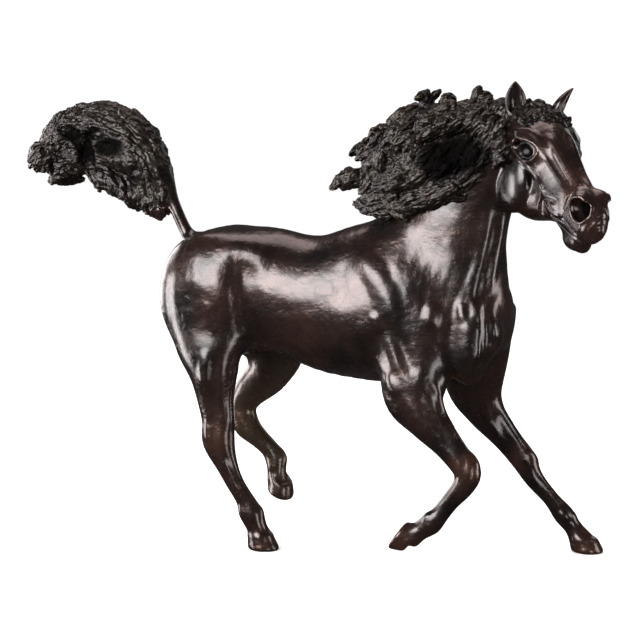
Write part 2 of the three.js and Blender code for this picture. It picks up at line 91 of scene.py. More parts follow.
class Block:
    def __init__(self, low, high, step):
        self.low = np.array(low, np.float32)
        self.step = np.float32(step)
        self.count = np.ceil((np.array(high) - self.low) / step).astype(int) + 1
        self.d = np.full(self.count, FAR, np.float32)

    def window(self, low, high):
        first = np.maximum(np.floor((np.asarray(low) - self.low) / self.step).astype(int), 0)
        last = np.minimum(np.ceil((np.asarray(high) - self.low) / self.step).astype(int) + 1, self.count)
        if (last <= first).any():
            return None, None
        cells = tuple(slice(a, b) for a, b in zip(first, last))
        axes = []
        for k in range(3):
            line = self.low[k] + self.step * np.arange(first[k], last[k], dtype=np.float32)
            axes.append(line.reshape([-1 if j == k else 1 for j in range(3)]))
        return cells, axes

    def sample(self, points):
        """Trilinear value at each point."""
        g = (np.asarray(points, np.float32) - self.low) / self.step
        i = np.clip(np.floor(g).astype(int), 0, self.count - 2)
        f = np.clip(g - i, 0, 1)
        out = 0
        for cx in (0, 1):
            wx = f[:, 0] if cx else 1 - f[:, 0]
            for cy in (0, 1):
                wy = f[:, 1] if cy else 1 - f[:, 1]
                for cz in (0, 1):
                    wz = f[:, 2] if cz else 1 - f[:, 2]
                    out = out + wx * wy * wz * self.d[i[:, 0] + cx, i[:, 1] + cy, i[:, 2] + cz]
        return out

    def slope(self, points, reach=None):
        h = reach or self.step
        steps = np.eye(3, dtype=np.float32) * h
        return np.stack([self.sample(points + s) - self.sample(points - s) for s in steps], 1) / (2 * h)

    def settle(self, points, rounds=5, most=3.0):
        """Moves points onto the surface."""
        p = np.array(points, np.float32)
        for _ in range(rounds):
            n = self.slope(p)
            size = np.maximum((n * n).sum(1), 0.05)
            move = (self.sample(p) / size)[:, None] * n
            p -= np.clip(move, -most, most)
        return p

    def blur(self, times=1):
        for _ in range(times):
            for axis in range(3):
                a = np.moveaxis(self.d, axis, 0)
                mid = a[1:-1] * 0.5
                mid += a[:-2] * 0.25
                mid += a[2:] * 0.25
                a[1:-1] = mid


def unit(v):
    v = np.asarray(v, float)
    return v / np.linalg.norm(v)


def spline(rows, spacing):
    """Catmull-Rom through rows of x, y, z and any further values, cut into steps of about spacing."""
    p = np.asarray(rows, float)
    p = np.vstack([2 * p[0] - p[1], p, 2 * p[-1] - p[-2]])
    out = []
    for i in range(1, len(p) - 2):
        n = max(1, int(round(np.linalg.norm(p[i + 1, :3] - p[i, :3]) / spacing)))
        for t in np.arange(n) / n:
            a, b, c, d = p[i - 1 : i + 3]
            out.append(
                0.5
                * (2 * b + (c - a) * t + (2 * a - 5 * b + 4 * c - d) * t**2 + (3 * b - a - 3 * c + d) * t**3)
            )
    out.append(p[-2])
    return np.array(out)


def oval_distance(q, s, u, d, wide, deep, end):
    """Distance from an oval section, for offsets q from its middle along side s, depth u and travel d."""
    qs = (q[0] * s[0] + q[1] * s[1] + q[2] * s[2]) / wide
    qu = (q[0] * u[0] + q[1] * u[1] + q[2] * u[2]) / deep
    qd = (q[0] * d[0] + q[1] * d[1] + q[2] * d[2]) / end
    k1 = np.sqrt(qs * qs + qu * qu + qd * qd)
    k2 = np.sqrt((qs / wide) ** 2 + (qu / deep) ** 2 + (qd / end) ** 2)
    return k1 * (k1 - 1) / (k2 + 1e-6)


def sweep(stations, side=(0, 1, 0), spacing=6.0, blunt=0.5, margin=12.0):
    """A limb through stations of x, y, z, half-depth, half-width. Gives a function of a block."""
    rows = spline(stations, spacing)
    side = unit(side)

    def measure(block):
        low = (rows[:, :3] - rows[:, 3:4].clip(rows[:, 4:5])).min(0) - margin
        high = (rows[:, :3] + rows[:, 3:4].clip(rows[:, 4:5])).max(0) + margin
        cells, axes = block.window(low, high)
        if cells is None:
            return None, None
        field = np.full([a.size for a in axes], FAR, np.float32)
        base = np.array([s.start for s in cells])
        for a, b in zip(rows[:-1], rows[1:]):
            reach = max(a[3], a[4], b[3], b[4]) + margin
            part, ax = block.window(
                np.maximum(np.minimum(a[:3], b[:3]) - reach, low),
                np.minimum(np.maximum(a[:3], b[:3]) + reach, high),
            )
            if part is None:
                continue
            local = tuple(slice(p.start - o, p.stop - o) for p, o in zip(part, base))
            travel = b[:3] - a[:3]
            length = np.linalg.norm(travel)
            d = travel / length
            s = unit(side - side.dot(d) * d)
            u = np.cross(d, s)
            rel = [(ax[k] - np.float32(a[k])) for k in range(3)]
            t = (
                rel[0] * np.float32(d[0]) + rel[1] * np.float32(d[1]) + rel[2] * np.float32(d[2])
            ) / np.float32(length)
            t = np.clip(t, 0, 1)
            q = [rel[k] - t * np.float32(travel[k]) for k in range(3)]
            deep = a[3] + t * np.float32(b[3] - a[3])
            wide = a[4] + t * np.float32(b[4] - a[4])
            end = np.minimum(deep, wide) * np.float32(blunt)
            value = oval_distance(
                q, s.astype(np.float32), u.astype(np.float32), d.astype(np.float32), wide, deep, end
            )
            np.minimum(field[local], value, out=field[local])
        return cells, field

    return measure


def ellipsoid(at, radii, axes=None, margin=12.0):
    """An egg with its own three axes (rows)."""
    frame_axes = np.eye(3) if axes is None else np.array([unit(a) for a in axes])
    at, radii = np.asarray(at, float), np.asarray(radii, float)

    def measure(block):
        reach = np.sqrt(((frame_axes * radii[:, None]) ** 2).sum(0)) + margin
        cells, ax = block.window(at - reach, at + reach)
        if cells is None:
            return None, None
        q = [ax[k] - np.float32(at[k]) for k in range(3)]
        f = frame_axes.astype(np.float32)
        r = radii.astype(np.float32)
        return cells, oval_distance(q, f[0], f[1], f[2], r[0], r[1], r[2])

    return measure


def add(block, measure, k):
    cells, field = measure(block)
    if cells is not None:
        block.d[cells] = smin(block.d[cells], field, k)


def cut(block, measure, k):
    cells, field = measure(block)
    if cells is not None:
        block.d[cells] = smax(block.d[cells], -field, k)


def stroke(block, points, radius, height, settle=True, fade=0.25, spacing=3.0):
    """Raises (or with a negative height, presses in) the surface along a line near it."""
    pts = spline(points, spacing)
    if settle:
        pts = block.settle(pts)
    ends = np.linspace(0, 1, len(pts))
    strength = np.clip(np.minimum(ends, 1 - ends) / max(fade, 1e-3), 0.0, 1) if fade else np.ones(len(pts))
    strength = strength * strength * (3 - 2 * strength)
    low, high = pts.min(0) - radius, pts.max(0) + radius
    cells, _ = block.window(low, high)
    if cells is None:
        return
    total = np.zeros([c.stop - c.start for c in cells], np.float32)
    base = np.array([c.start for c in cells])
    for a, b, sa, sb in zip(pts[:-1], pts[1:], strength[:-1], strength[1:]):
        part, ax = block.window(np.minimum(a, b) - radius, np.maximum(a, b) + radius)
        if part is None:
            continue
        travel = b - a
        size = max(float(travel.dot(travel)), 1e-6)
        rel = [ax[k] - a[k] for k in range(3)]
        t = np.clip((rel[0] * travel[0] + rel[1] * travel[1] + rel[2] * travel[2]) / size, 0, 1)
        gap = sum((rel[k] - t * travel[k]) ** 2 for k in range(3)) / (radius * radius)
        bump = np.clip(1 - gap, 0, 1) ** 2 * (sa + t * (sb - sa))
        local = tuple(slice(p.start - o, p.stop - o) for p, o in zip(part, base))
        np.maximum(total[local], bump, out=total[local])
    block.d[cells] -= height * total


# ---- the body ----------------------------------------------------------------------------------------------

BARREL = [
    (-150, 0, 258, 36, 32), (-136, 0, 256, 54, 48), (-114, 0, 256, 62, 56), (-88, 0, 257, 66, 61),
    (-70, 0, 258, 64, 58), (-52, 0, 258, 63, 53.5), (-20, 0, 252, 63, 54),
    (18, 0, 247, 71, 57), (58, -1, 250, 79, 57),
    (98, -4, 254, 78, 55), (138, -6, 250, 66, 46), (164, -9, 244, 50, 39), (182, -12, 240, 32, 30),
]
NECK = [
    (110, -2, 262, 60, 38), (127, -5, 298, 68, 40), (141, -10, 332, 59, 35), (158, -16, 362, 49, 29),
    (177, -24, 388, 41, 26), (195, -33, 404, 35, 24), (207, -42, 411, 30, 22),
]
LEGS = {
    "right_hind": [
        (-92, -26, 272, 50, 22), (-101, -33, 228, 47, 24),
        (-102, -39, 204, 38, 23), (-98, -42, 176, 25.5, 20),
        (-95.5, -43, 150, 19.2, 14.5), (-92.8, -43, 128, 17.2, 12.2),
        (-92.5, -43, 108, 17.2, 12), (-84, -42, 84, 11.5, 9.5),
        (-75, -42, 66, 9.5, 8), (-65, -41, 50, 9.7, 8), (-58, -40, 35, 12.5, 10), (-53, -39, 22, 10.5, 9.5),
        (-49, -38, 12, 12, 11.5),
    ],
    "left_hind": [
        (-86, 26, 272, 50, 22), (-80, 33, 232, 45, 24), (-66, 40, 196, 36, 22), (-72, 41, 168, 24, 17.5),
        (-92, 40, 146, 17.5, 13.5), (-100, 40, 130, 14.5, 11.5),
        (-96, 39, 112, 14.5, 11), (-82, 38, 99, 11, 9),
        (-69, 37, 88, 10, 8), (-62, 37, 77, 11.5, 9.5), (-61, 36, 66, 10, 9), (-60, 36, 57, 11, 10.5),
    ],
    "right_fore": [
        (122, -28, 262, 44, 20), (112, -36, 220, 42, 23), (112, -43, 184, 34, 22), (115, -47, 163, 30, 19),
        (129, -50, 142, 20, 16), (146, -52, 125, 15.5, 13),
        (159, -54, 111, 13.5, 11.5), (170, -55, 97, 13.5, 11.5),
        (166, -56, 83, 11, 9.5), (154, -57, 68, 9, 7.5), (144, -57, 55, 9, 7.5), (134, -57, 44, 11, 9.5),
        (124, -57, 37, 9.5, 8.5), (114, -57, 30, 11.5, 11),
    ],
    "left_fore": [
        (156, 18, 250, 40, 20), (152, 28, 205, 36, 23), (150, 38, 166, 29, 20), (160, 43, 140, 20, 16),
        (174, 47, 121, 15.5, 13), (186, 50, 106, 13.5, 11.5), (197, 52, 92, 13, 11.5), (208, 55, 72, 10, 8.5),
        (225, 58, 52, 8.3, 7.5), (237, 60, 37, 10.5, 9.5), (247, 61, 24, 9, 8.5), (255, 62, 12, 12, 11.5),
    ],
}
# Sole centre, toe tip (degrees down) and turn to the left.
HOOVES = {
    "right_hind": ((-46, -38, 0), 0, 0),
    "left_hind": ((-57, 36, 43), 28, -40),
    "right_fore": ((100, -57, 31), 125, 0),
    "left_fore": ((262, 62, 0), 0, 0),
}


def turned(pitch, yaw):
    """Forward, left and up axes of something tipped nose-down by pitch and turned left by yaw, in degrees."""
    p, y = math.radians(pitch), math.radians(yaw)
    forward = np.array([math.cos(p) * math.cos(y), math.cos(p) * math.sin(y), -math.sin(p)])
    left = np.array([-math.sin(y), math.cos(y), 0])
    return forward, left, np.cross(forward, left)


def hoof(block, sole, pitch, yaw):
    """A hoof: a cone that leans forward, cut flat at the sole, with a coronet band above it."""
    forward, left, up = turned(pitch, yaw)
    sole = np.asarray(sole, float)

    def at(x, y, z):
        return sole + x * forward + y * left + z * up

    cells, ax = block.window(sole - 34, sole + 34)
    if cells is None:
        return
    q = [ax[k] - np.float32(sole[k]) for k in range(3)]
    x, y, z = [sum(q[k] * np.float32(v[k]) for k in range(3)) for v in (forward, left, up)]
    level = np.clip(z / 15, -0.2, 1.3)
    x = x + 3.6 * level
    narrow = 1 - 0.25 * level
    heel = 1 - 0.1 * np.clip(-x / 17, 0, 1)
    round_k = np.sqrt((x / 17.2) ** 2 + (y / (14.8 * heel)) ** 2) / narrow
    wall = (round_k - 1) * 14.5 * 0.94
    shell = smax(smax(wall, z - 15, 3), -z, 1.2)
    block.d[cells] = smin(block.d[cells], shell, 4)
    ring = [
        at(-3.6 * 0.95 + 12.9 * math.cos(t), 11.2 * math.sin(t), 15.3 + 1.0 * math.cos(t))
        for t in np.linspace(0, 2 * math.pi, 25)
    ]
    stroke(block, ring, 3.4, 1.1, settle=False, fade=0)


def muscles(block):
    def egg(at, size, tip=12, k=14):
        f, l, u = turned(tip, 0)
        add(block, ellipsoid(at, size, (f, l, u)), k)

    for side in (-1, 1):
        egg((-112, 31 * side, 258), (42, 26, 56), 12, 18)  # thigh
        egg((-132, 22 * side, 262), (24, 22, 42), 8, 12)  # buttock
        egg((-66, 28 * side, 294), (30, 22, 18), 10, 16)  # point of the hip
        egg((60, 22 * side, 232), (52, 33, 40), 0, 18)  # ribs
    for middle, length, side in ((115, 32, -1), (130, 38, 1)):
        egg((middle, (33 if side < 0 else -27) * side, 240), (length, 23, 52), -20, 14)  # shoulder
        egg((middle - 18, (36 if side < 0 else -29) * side, 214), (24, 18, 34), -10, 10)  # upper arm
    egg((171, -33, 234), (22, 19, 33), -18, 9)  # breast, right
    egg((162, -38, 207), (19, 17, 30), -10, 8)
    egg((174, 8, 236), (20, 18, 31), -18, 9)  # breast, left


# Muscle edges, cords and hollows: the line each one follows, how far it spreads and how high it stands.
MODELLING = [
    # cords of the neck
    ([(186, -40, 350), (182, -38, 322), (178, -40, 301), (173, -44, 280), (167, -50, 258)], 7, 2.6),
    ([(196, -33, 348), (192, -29, 319), (188, -32, 297), (184, -38, 268)], 5.5, 2.4),
    # breast
    ([(183, -42, 261), (185, -46, 243), (183, -46, 217), (179, -46, 196), (170, -47, 180),
     (152, -50, 171)], 4.5, -3),
    ([(176, -51, 228), (176, -50, 208), (170, -50, 190)], 3, 1),
    ([(165, -53, 244), (170, -51, 223), (163, -34, 200)], 12, 3),
    ([(190, -38, 240), (194, -30, 222), (186, -10, 200)], 8, 2.5),
    ([(161, -52, 258), (162, -54, 243)], 4, 2),
    ([(174, -47, 259), (176, -51, 245)], 5, 2),
    ([(188, -44, 241), (191, -41, 225)], 4, 1.8),
    # shoulder
    ([(135, -59, 253), (133, -60, 240)], 8, 2.5),
    ([(52, -44, 300), (70, -51, 288), (84, -57, 270), (93, -59, 248), (97, -60, 230)], 11, 2.8),
    ([(108, -48, 316), (126, -53, 294), (136, -57, 270), (140, -60, 248)], 20, -2.4),
    ([(38, -47, 293), (40, -55, 272), (44, -58, 253)], 8, -1.0),
    # elbow
    ([(77, -60, 244), (82, -59, 229)], 4.5, 2.4),
    ([(99, -60, 231), (108, -62, 210), (119, -64, 186)], 7, -2),
    ([(86, -58, 225), (95, -60, 206), (102, -63, 191)], 8, 1.2),
    ([(91, -60, 184), (99, -63, 173)], 7, 2.2),
    # right forearm
    ([(134, -59, 184), (140, -55, 172), (148, -51, 147), (159, -61, 126)], 4, 2.2),
    ([(125, -64, 177), (134, -62, 156), (147, -64, 132), (160, -64, 117)], 4.5, -1.6),
    ([(105, -65, 172), (121, -65, 152), (141, -64, 128)], 5, 1),
    # right knee and cannon
    ([(172, -55, 116), (181, -58, 104)], 5, 1.6),
    ([(163, -63, 117), (169, -65, 105), (167, -66, 93)], 3.2, -1.3),
    ([(166, -66, 91), (155, -64, 73), (146, -63, 62)], 2.6, 0.9),
    ([(171, -65, 91), (160, -64, 73), (151, -64, 60)], 2.2, -0.8),
    ([(130, -59, 54), (133, -64, 51)], 4, 2.5),
    # fold of the flank
    ([(-62, -46, 210), (-69, -47, 191), (-74, -49, 162), (-76, -49, 137), (-77, -49, 116)], 3, 2),
    ([(-58, -36, 208), (-62, -34, 194), (-68, -32, 180)], 4, -2),
    # thigh and gaskin
    ([(-90, -60, 201), (-91, -59, 168), (-91, -55, 137), (-89, -54, 113)], 5, -1.8),
    ([(-98, -61, 201), (-100, -62, 181), (-101, -59, 162)], 6, 2),
    # croup
    ([(-118, -60, 261), (-116, -60, 247)], 11, -0.9),
    ([(-98, -61, 252), (-91, -59, 230), (-89, -58, 220)], 5, 1.4),
    ([(-64, -50, 304), (-61, -55, 264), (-59, -53, 218)], 16, -2.8),
    # right hock and cannon
    ([(-102, -52, 125), (-100, -54, 111)], 5, 1.6),
    ([(-93, -54, 126), (-91, -54, 106), (-87, -52, 89)], 3, -1.2),
    ([(-90, -53, 99), (-79, -51, 79), (-69, -49, 54)], 2.6, 1.3),
    ([(-84, -53, 99), (-74, -48, 77), (-64, -48, 54)], 2.4, -1),
    ([(-68, -47, 43), (-66, -47, 32)], 4, 2),
    ([(-50, -40, 44), (-46, -41, 37)], 4, 1.2),
    # left forearm
    ([(176, 38, 148), (188, 43, 124), (202, 44, 101)], 5, 1.2),
    ([(170, 30, 143), (180, 36, 121), (192, 40, 101)], 4, -1.2),
    # left knee and cannon
    ([(204, 45, 101), (211, 56, 89)], 4.5, 1.8),
    ([(199, 41, 91), (208, 46, 78)], 3, -1),
    ([(214, 52, 80), (227, 53, 60), (239, 54, 45)], 2.4, 0.9),
    ([(238, 52, 41), (243, 52, 33)], 4, 1.8),
    ([(247, 59, 40), (251, 60, 34)], 4, 1),
    # left hock
    ([(-58, 36, 90), (-51, 37, 75)], 4.5, 1.5),
    ([(-67, 29, 75), (-64, 28, 67)], 3.5, 1.2),
]


STROKE_SPREAD = 1.45  # how much wider and higher the clay takes each stroke, which the smoothing then lowers
STROKE_MARGIN = 0.8
STROKE_LIFT = 1.15


def modelling(block):
    for points, radius, height in MODELLING:
        stroke(block, points, radius * STROKE_SPREAD + STROKE_MARGIN, height * STROKE_LIFT)


def body_masses(block):
    add(block, sweep(BARREL, spacing=10), 1)
    muscles(block)
    add(block, sweep(NECK, side=(0.2, 1, 0), spacing=5), 20)
    add(block, sweep(TAIL_DOCK, spacing=4), 9)
    for name, stations in LEGS.items():
        add(block, sweep(stations, spacing=5), 10)
        hoof(block, *HOOVES[name])


# ---- the head, in its own axes: A to the nose, L to the horse's left, N out of the forehead ---------------

POLL = np.array([228.0, -40.0, 443.0])
HEAD_AXES = np.array(turned(31, -47))


def on_head(a, l, n):
    return POLL + a * HEAD_AXES[0] + l * HEAD_AXES[1] + n * HEAD_AXES[2]


def head_sweep(rows, **more):
    stations = [(*on_head(a, l, n), deep, wide) for a, l, n, deep, wide in rows]
    return sweep(stations, side=HEAD_AXES[1], **more)


def head_egg(at, size, tip=0, swing=0):
    """An egg on the head. tip turns its long way nose-down, swing turns it to the left."""
    turn = np.array(turned(tip, swing))
    return ellipsoid(on_head(*at), size, turn @ HEAD_AXES)


SKULL = [
    (-12, 0, -34, 20, 17), (0, 0, -30, 26, 24), (14, 0, -25, 26, 28),
    (30, 0, -21, 25, 29), (46, 0, -20, 24, 26),
    (62, 0, -24, 25, 22), (80, 0, -29, 25, 19.5), (98, 0, -32, 24, 17), (116, 0, -33, 24, 15.5),
    (130, 0, -33, 24, 15.5), (143, 0, -33, 22, 14), (152, 0, -34, 15, 10), (157, 0, -34, 8, 6),
]
JAW = [
    (-2, 0, -60, 14, 15), (10, 0, -66, 22, 21), (28, 0, -69, 25, 24),
    (46, 0, -66, 25, 22), (62, 0, -61, 21, 18),
    (80, 0, -56, 15, 15), (98, 0, -52, 11, 12), (114, 0, -54, 9, 11),
    (126, 0, -57, 9, 10), (134, 0, -57, 7, 8),
]
EARS = {
    "ear_right": {"base": (1, -20, -6), "tip": (-8, -25, 24), "open": (0.75, -0.55, 0.3)},
    "ear_left": {"base": (5, 21, -6), "tip": (-2, 36, 20), "open": (0.6, 0.75, 0.1)},
}


def head_masses(block):
    add(block, head_sweep(SKULL, spacing=5), 8)
    add(block, head_sweep(JAW, spacing=5), 9)
    for side in (-1, 1):
        add(block, head_egg((29, 19 * side, -63), (29, 12, 30), 12), 4)  # cheek
        add(block, head_egg((42, 19 * side, -17), (23, 13.5, 14), 12, -10 * side), 6)  # eye socket
        add(block, head_egg((12, 16 * side, -14), (16, 10, 12)), 8)  # temple
        add(block, head_egg((92, 12 * side, -38), (22, 8, 12), 14), 7)  # side of the muzzle
        add(block, head_egg((131, 8 * side, -21), (15, 8, 13), 20), 5)  # nostril
    add(block, head_egg((143, 0, -36), (11, 10, 9), -20), 5)  # upper lip
    add(block, head_egg((134, 0, -58), (12, 9.5, 7.5), 20), 5)  # lower lip
    add(block, head_egg((124, 0, -64), (12, 9.5, 7.5), 0), 5)  # chin


def head_details(block):
    for side in (-1, 1):

        def line(points, radius, height, fade=0.25):
            stroke(block, [on_head(a, l * side, n) for a, l, n in points], radius, height, fade=fade)

        cut(block, head_egg((86, 27 * side, -24), (34, 7, 12), 12, -6 * side), 7)  # hollow beside the nose
        cut(block, head_egg((20, 25 * side, 8), (9, 7, 7)), 6)  # hollow over the eye
        cut(block, head_egg((70, 25 * side, -53), (6, 6, 17), -8), 5)  # in front of the cheek
        cheekbone = [(42, 29, -36), (54, 28, -36), (66, 26, -36), (76, 23, -37), (84, 20, -39)]
        line(cheekbone, 5.5, 3.0)
        line([(80, 20, -44), (79, 18, -54), (83, 14, -64)], 5, -3.6)  # groove behind the lips
        line([(44, 13, 4), (70, 11, 0), (96, 9.5, -5), (122, 8.5, -9)], 5, 2.2)  # edge of the nasal bone
        line([(60, 17, -6), (82, 15, -11), (102, 13.5, -15), (114, 13, -19)], 5.5, -2.2)  # beside it
        line([(84, 17, -51), (96, 16, -47), (108, 15, -45), (118, 15, -43)], 3.5, 1.3)  # folds by the mouth
        line([(84, 18, -44), (94, 17, -40), (104, 15, -36)], 3.5, -1.2)
        line([(118, 15, -36), (116, 15, -24), (120, 14, -12)], 3.5, -1.6)  # behind the nostril
    forehead = [on_head(a, 0, n) for a, n in ((40, 4), (70, -1), (100, -6), (124, -9))]
    stroke(block, forehead, 8, -1.4)


EYE_MIDDLE = (42.5, 27.5, -19.5)
EYE_LENGTH = 19.5
EYE_HEIGHT = 9.6


def eye(block, side):
    """A ball under two lids in an almond opening."""
    along = unit((0.873, -0.344 * side, 0.344))
    out = unit((0.185, 0.889 * side, 0.418))
    up = unit(np.cross(out, along) * -side)
    axes = np.array([along, up, out])
    middle = np.array(EYE_MIDDLE) * (1, side, 1)

    def place(x, z, y):
        return on_head(*(middle + x * along + z * up + y * out))

    world = axes @ HEAD_AXES
    cut(block, ellipsoid(place(0, 0, 2.5), (EYE_LENGTH * 0.93, EYE_HEIGHT, 7.5), world), 1.5)
    add(block, ellipsoid(place(0.5, 0, -8.4), (11.5, 10.5, 9.0), world), 0.8)
    rim = []
    for t in np.linspace(0, 2 * math.pi, 33):
        x, z = math.cos(t), math.sin(t)
        pinch = 1 - 0.35 * x * x
        rim.append(place(EYE_LENGTH * x, EYE_HEIGHT * 1.04 * z * (pinch + 0.08), 0.5 - 3.0 * x * x))
    stroke(block, rim, 3.2, 2.1, fade=0, spacing=1.5)
    brow = [place(EYE_LENGTH * x, EYE_HEIGHT * 1.75 - 6.5 * x * x, 0) for x in (-0.9, -0.4, 0.1, 0.6, 0.95)]
    stroke(block, brow, 5, 1.5)


def nostril(block, side):
    add(block, head_egg((131, 12.5 * side, -18), (11, 5.5, 9)), 5)
    cut(block, head_egg((136, 12 * side, -22), (10.6, 16, 11.6), 30, 28 * side), 1.2)
    rim = []
    for t in np.linspace(0, 2 * math.pi, 25):
        rim.append((135 + 11.5 * math.cos(t), (13.5 - 2.5 * math.cos(t)) * side, -21.5 + 12 * math.sin(t)))
    stroke(block, [on_head(*p) for p in rim], 2.8, 1.3, fade=0, spacing=1.5)


def mouth(block):
    for side in (-1, 1):
        lips = [(94, 14), (106, 14), (118, 13), (130, 11), (140, 7), (146, 0)]
        heights = [-54, -51, -49, -48, -47.5, -47]
        gap = [on_head(a, l * side, n) for (a, l), n in zip(lips, heights)]
        stroke(block, gap, 3.6, -4.5, fade=0.12)
        for rise, lift in ((3.6, 1.2), (-3.6, 0.8)):
            lip = [on_head(a, l * side, n + rise) for (a, l), n in zip(lips, heights)]
            stroke(block, lip, 2.2, lift, fade=0.12)


def ear_shape(base, tip, open, hollow=False):
    base, tip = np.array(on_head(*base)), np.array(on_head(*tip))
    facing = unit(np.array(open) @ HEAD_AXES)
    profile = [
        (0, 7, 8), (0.18, 7, 9.4), (0.4, 6, 10.2), (0.62, 4.6, 8.4),
        (0.82, 3, 4.9), (0.94, 1.7, 2.3), (1, 0.8, 0.9),
    ]
    rows = []
    for t, deep, wide in profile:
        at = base + (tip - base) * t + facing * (3.0 * math.sin(math.pi * t) * -0.6)
        if hollow:
            at = at + facing * (deep * 0.62 + 1.2)
            deep, wide = deep * 0.85, wide * 0.66
        rows.append((*at, deep, wide))
    if hollow:
        rows = rows[1:-1]
    across = np.cross(tip - base, facing)
    return sweep(rows, side=across, spacing=2.5, blunt=0.8)


def ears(block):
    for shape in EARS.values():
        add(block, ear_shape(**shape), 4)
    for shape in EARS.values():
        cut(block, ear_shape(**shape, hollow=True), 1.2)


def mesh_of(block):
    """The block's surface as points (mm) and faces."""
    band = 3 * block.step
    grid = vdb.FloatGrid(float(band))
    grid.copyFromArray(np.clip(block.d, -band, band).astype(np.float32), tolerance=0.0)
    grid.transform = vdb.createLinearTransform(voxelSize=float(block.step))
    points, quads = grid.convertToQuads(isovalue=0.0)
    points = points + block.low
    return block.settle(points, rounds=2, most=block.step), quads[:, ::-1]


def seam(point, normal, low=None, high=None):
    """A flat cut between two castings. low and high keep it to one part of the body."""
    return np.array(point, float), unit(normal), low, high


def divide(points, faces, seams):
    """Cuts a closed surface along its seams. Gives each part as its points and faces, open along the cuts."""
    mesh = bpy.data.meshes.new("whole")
    mesh.from_pydata(np.asarray(points).tolist(), [], np.asarray(faces).tolist())
    whole = bmesh.new()
    whole.from_mesh(mesh)
    bpy.data.meshes.remove(mesh)
    for at, normal, low, high in seams:
        near = [
            f for f in whole.faces
            if abs(normal.dot(np.array(f.verts[0].co) - at)) < 6
            and (low is None or all(a <= c <= b for a, c, b in zip(low, f.verts[0].co, high)))
        ]
        geometry = set(near)
        for f in near:
            geometry.update(f.edges)
            geometry.update(f.verts)
        made = bmesh.ops.bisect_plane(whole, geom=list(geometry), dist=1e-3, plane_co=at, plane_no=normal)
        edges = [e for e in made["geom_cut"] if isinstance(e, bmesh.types.BMEdge)]
        bmesh.ops.split_edges(whole, edges=edges)
    whole.verts.ensure_lookup_table()
    whole.faces.ensure_lookup_table()
    owner = [-1] * len(whole.verts)
    whole.verts.index_update()
    count = 0
    for start in whole.verts:
        if owner[start.index] >= 0:
            continue
        stack = [start]
        owner[start.index] = count
        while stack:
            v = stack.pop()
            for e in v.link_edges:
                w = e.other_vert(v)
                if owner[w.index] < 0:
                    owner[w.index] = count
                    stack.append(w)
        count += 1
    groups = [([], []) for _ in range(count)]
    local = [0] * len(whole.verts)
    for v in whole.verts:
        verts, _ = groups[owner[v.index]]
        local[v.index] = len(verts)
        verts.append(v.co.copy())
    for f in whole.faces:
        groups[owner[f.verts[0].index]][1].append([local[v.index] for v in f.verts])
    whole.free()
    return [(np.array(v), f) for v, f in groups if len(v) > 200]


def piece(name, points, faces, seams=()):
    """A closed body in the row frame, smooth outside and flat across its cut ends."""
    body = bmesh.new()
    for p in to_row(points):
        body.verts.new(p)
    body.verts.ensure_lookup_table()
    for f in faces:
        body.faces.new([body.verts[i] for i in f])
    for f in body.faces:
        f.smooth = True
    capped = False
    for at, normal, _, _ in seams:
        at = Vector(to_row(at))
        rim = [
            e for e in body.edges
            if e.is_boundary and all(abs((v.co - at).dot(normal)) < 2e-6 for v in e.verts)
        ]
        if not rim:
            continue
        for e in rim:
            e.smooth = False
        caps = bmesh.ops.triangle_fill(body, use_beauty=True, use_dissolve=False, edges=rim, normal=normal)
        for f in caps["geom"]:
            if isinstance(f, bmesh.types.BMFace):
                f.smooth = False
        capped = True
    rim = [e for e in body.edges if e.is_boundary]
    if rim:
        flats = bmesh.ops.holes_fill(body, edges=rim, sides=0)["faces"]
        for f in bmesh.ops.triangulate(body, faces=flats)["faces"]:
            f.smooth = False
        capped = True
    if capped:
        bmesh.ops.recalc_face_normals(body, faces=body.faces)
    mesh = bpy.data.meshes.new(name)
    body.to_mesh(mesh)
    body.free()
    obj = bpy.data.objects.new(name, mesh)
    bpy.context.scene.collection.objects.link(obj)
    return obj


# ---- hair: rough clumps laid over a soft mass, along the way the hair flows ------------------------------


def noise(points, seed=0):
    """Smooth gradient noise, about -1 to 1, at any number of points."""
    p = np.asarray(points, np.float32)
    cell = np.floor(p).astype(np.int64)
    f = p - cell
    w = f * f * f * (f * (f * 6 - 15) + 10)
    total = np.zeros(len(p), np.float32)
    for corner in np.ndindex(2, 2, 2):
        c = np.array(corner)
        key = ((cell + c) * np.array([73856093, 19349663, 83492791])).sum(1) + seed * 2654435761
        key = (key ^ (key >> 13)) * 1274126177
        key ^= key >> 16
        g = np.stack([((key >> s) & 1023) / 511.5 - 1 for s in (0, 10, 20)], 1)
        weight = np.prod(np.where(c, w, 1 - w), 1)
        total += weight * ((f - c) * g).sum(1)
    return total * 1.6


def frame_along(direction, up):
    f = unit(direction)
    l = unit(np.cross(up, f))
    return np.array([f, l, np.cross(f, l)])


def clumps(block, count, flow, size, seed, spacing=5.0, keep=None, sunk=0.1, stray=0.22):
    """Lays egg-shaped clumps on the block's surface. Gives each one's place and axes."""
    rng = np.random.default_rng(seed)
    points, _ = mesh_of(block)
    if keep is not None:
        points = points[keep(points)]
    normals = block.slope(points)
    placed = []
    for i in rng.permutation(len(points))[: count * 12]:
        p = points[i]
        if any(np.linalg.norm(p - q[0]) < spacing for q in placed):
            continue
        n = unit(normals[i] + 1e-4)
        f = unit(flow(p))
        f = unit(f - 0.85 * f.dot(n) * n + rng.normal(0, stray, 3))
        axes = frame_along(f, n)
        long, wide, thick = size * rng.uniform([0.7, 0.75, 0.6], [1.35, 1.3, 1.4])
        at = p + n * (rng.uniform(-0.4, 0.4) - sunk) * thick
        placed.append((at, axes, (long, wide, thick)))
        if len(placed) >= count:
            break
    for at, axes, radii in placed:
        add(block, ellipsoid(at, radii, axes, margin=4), 1.6)
    return placed


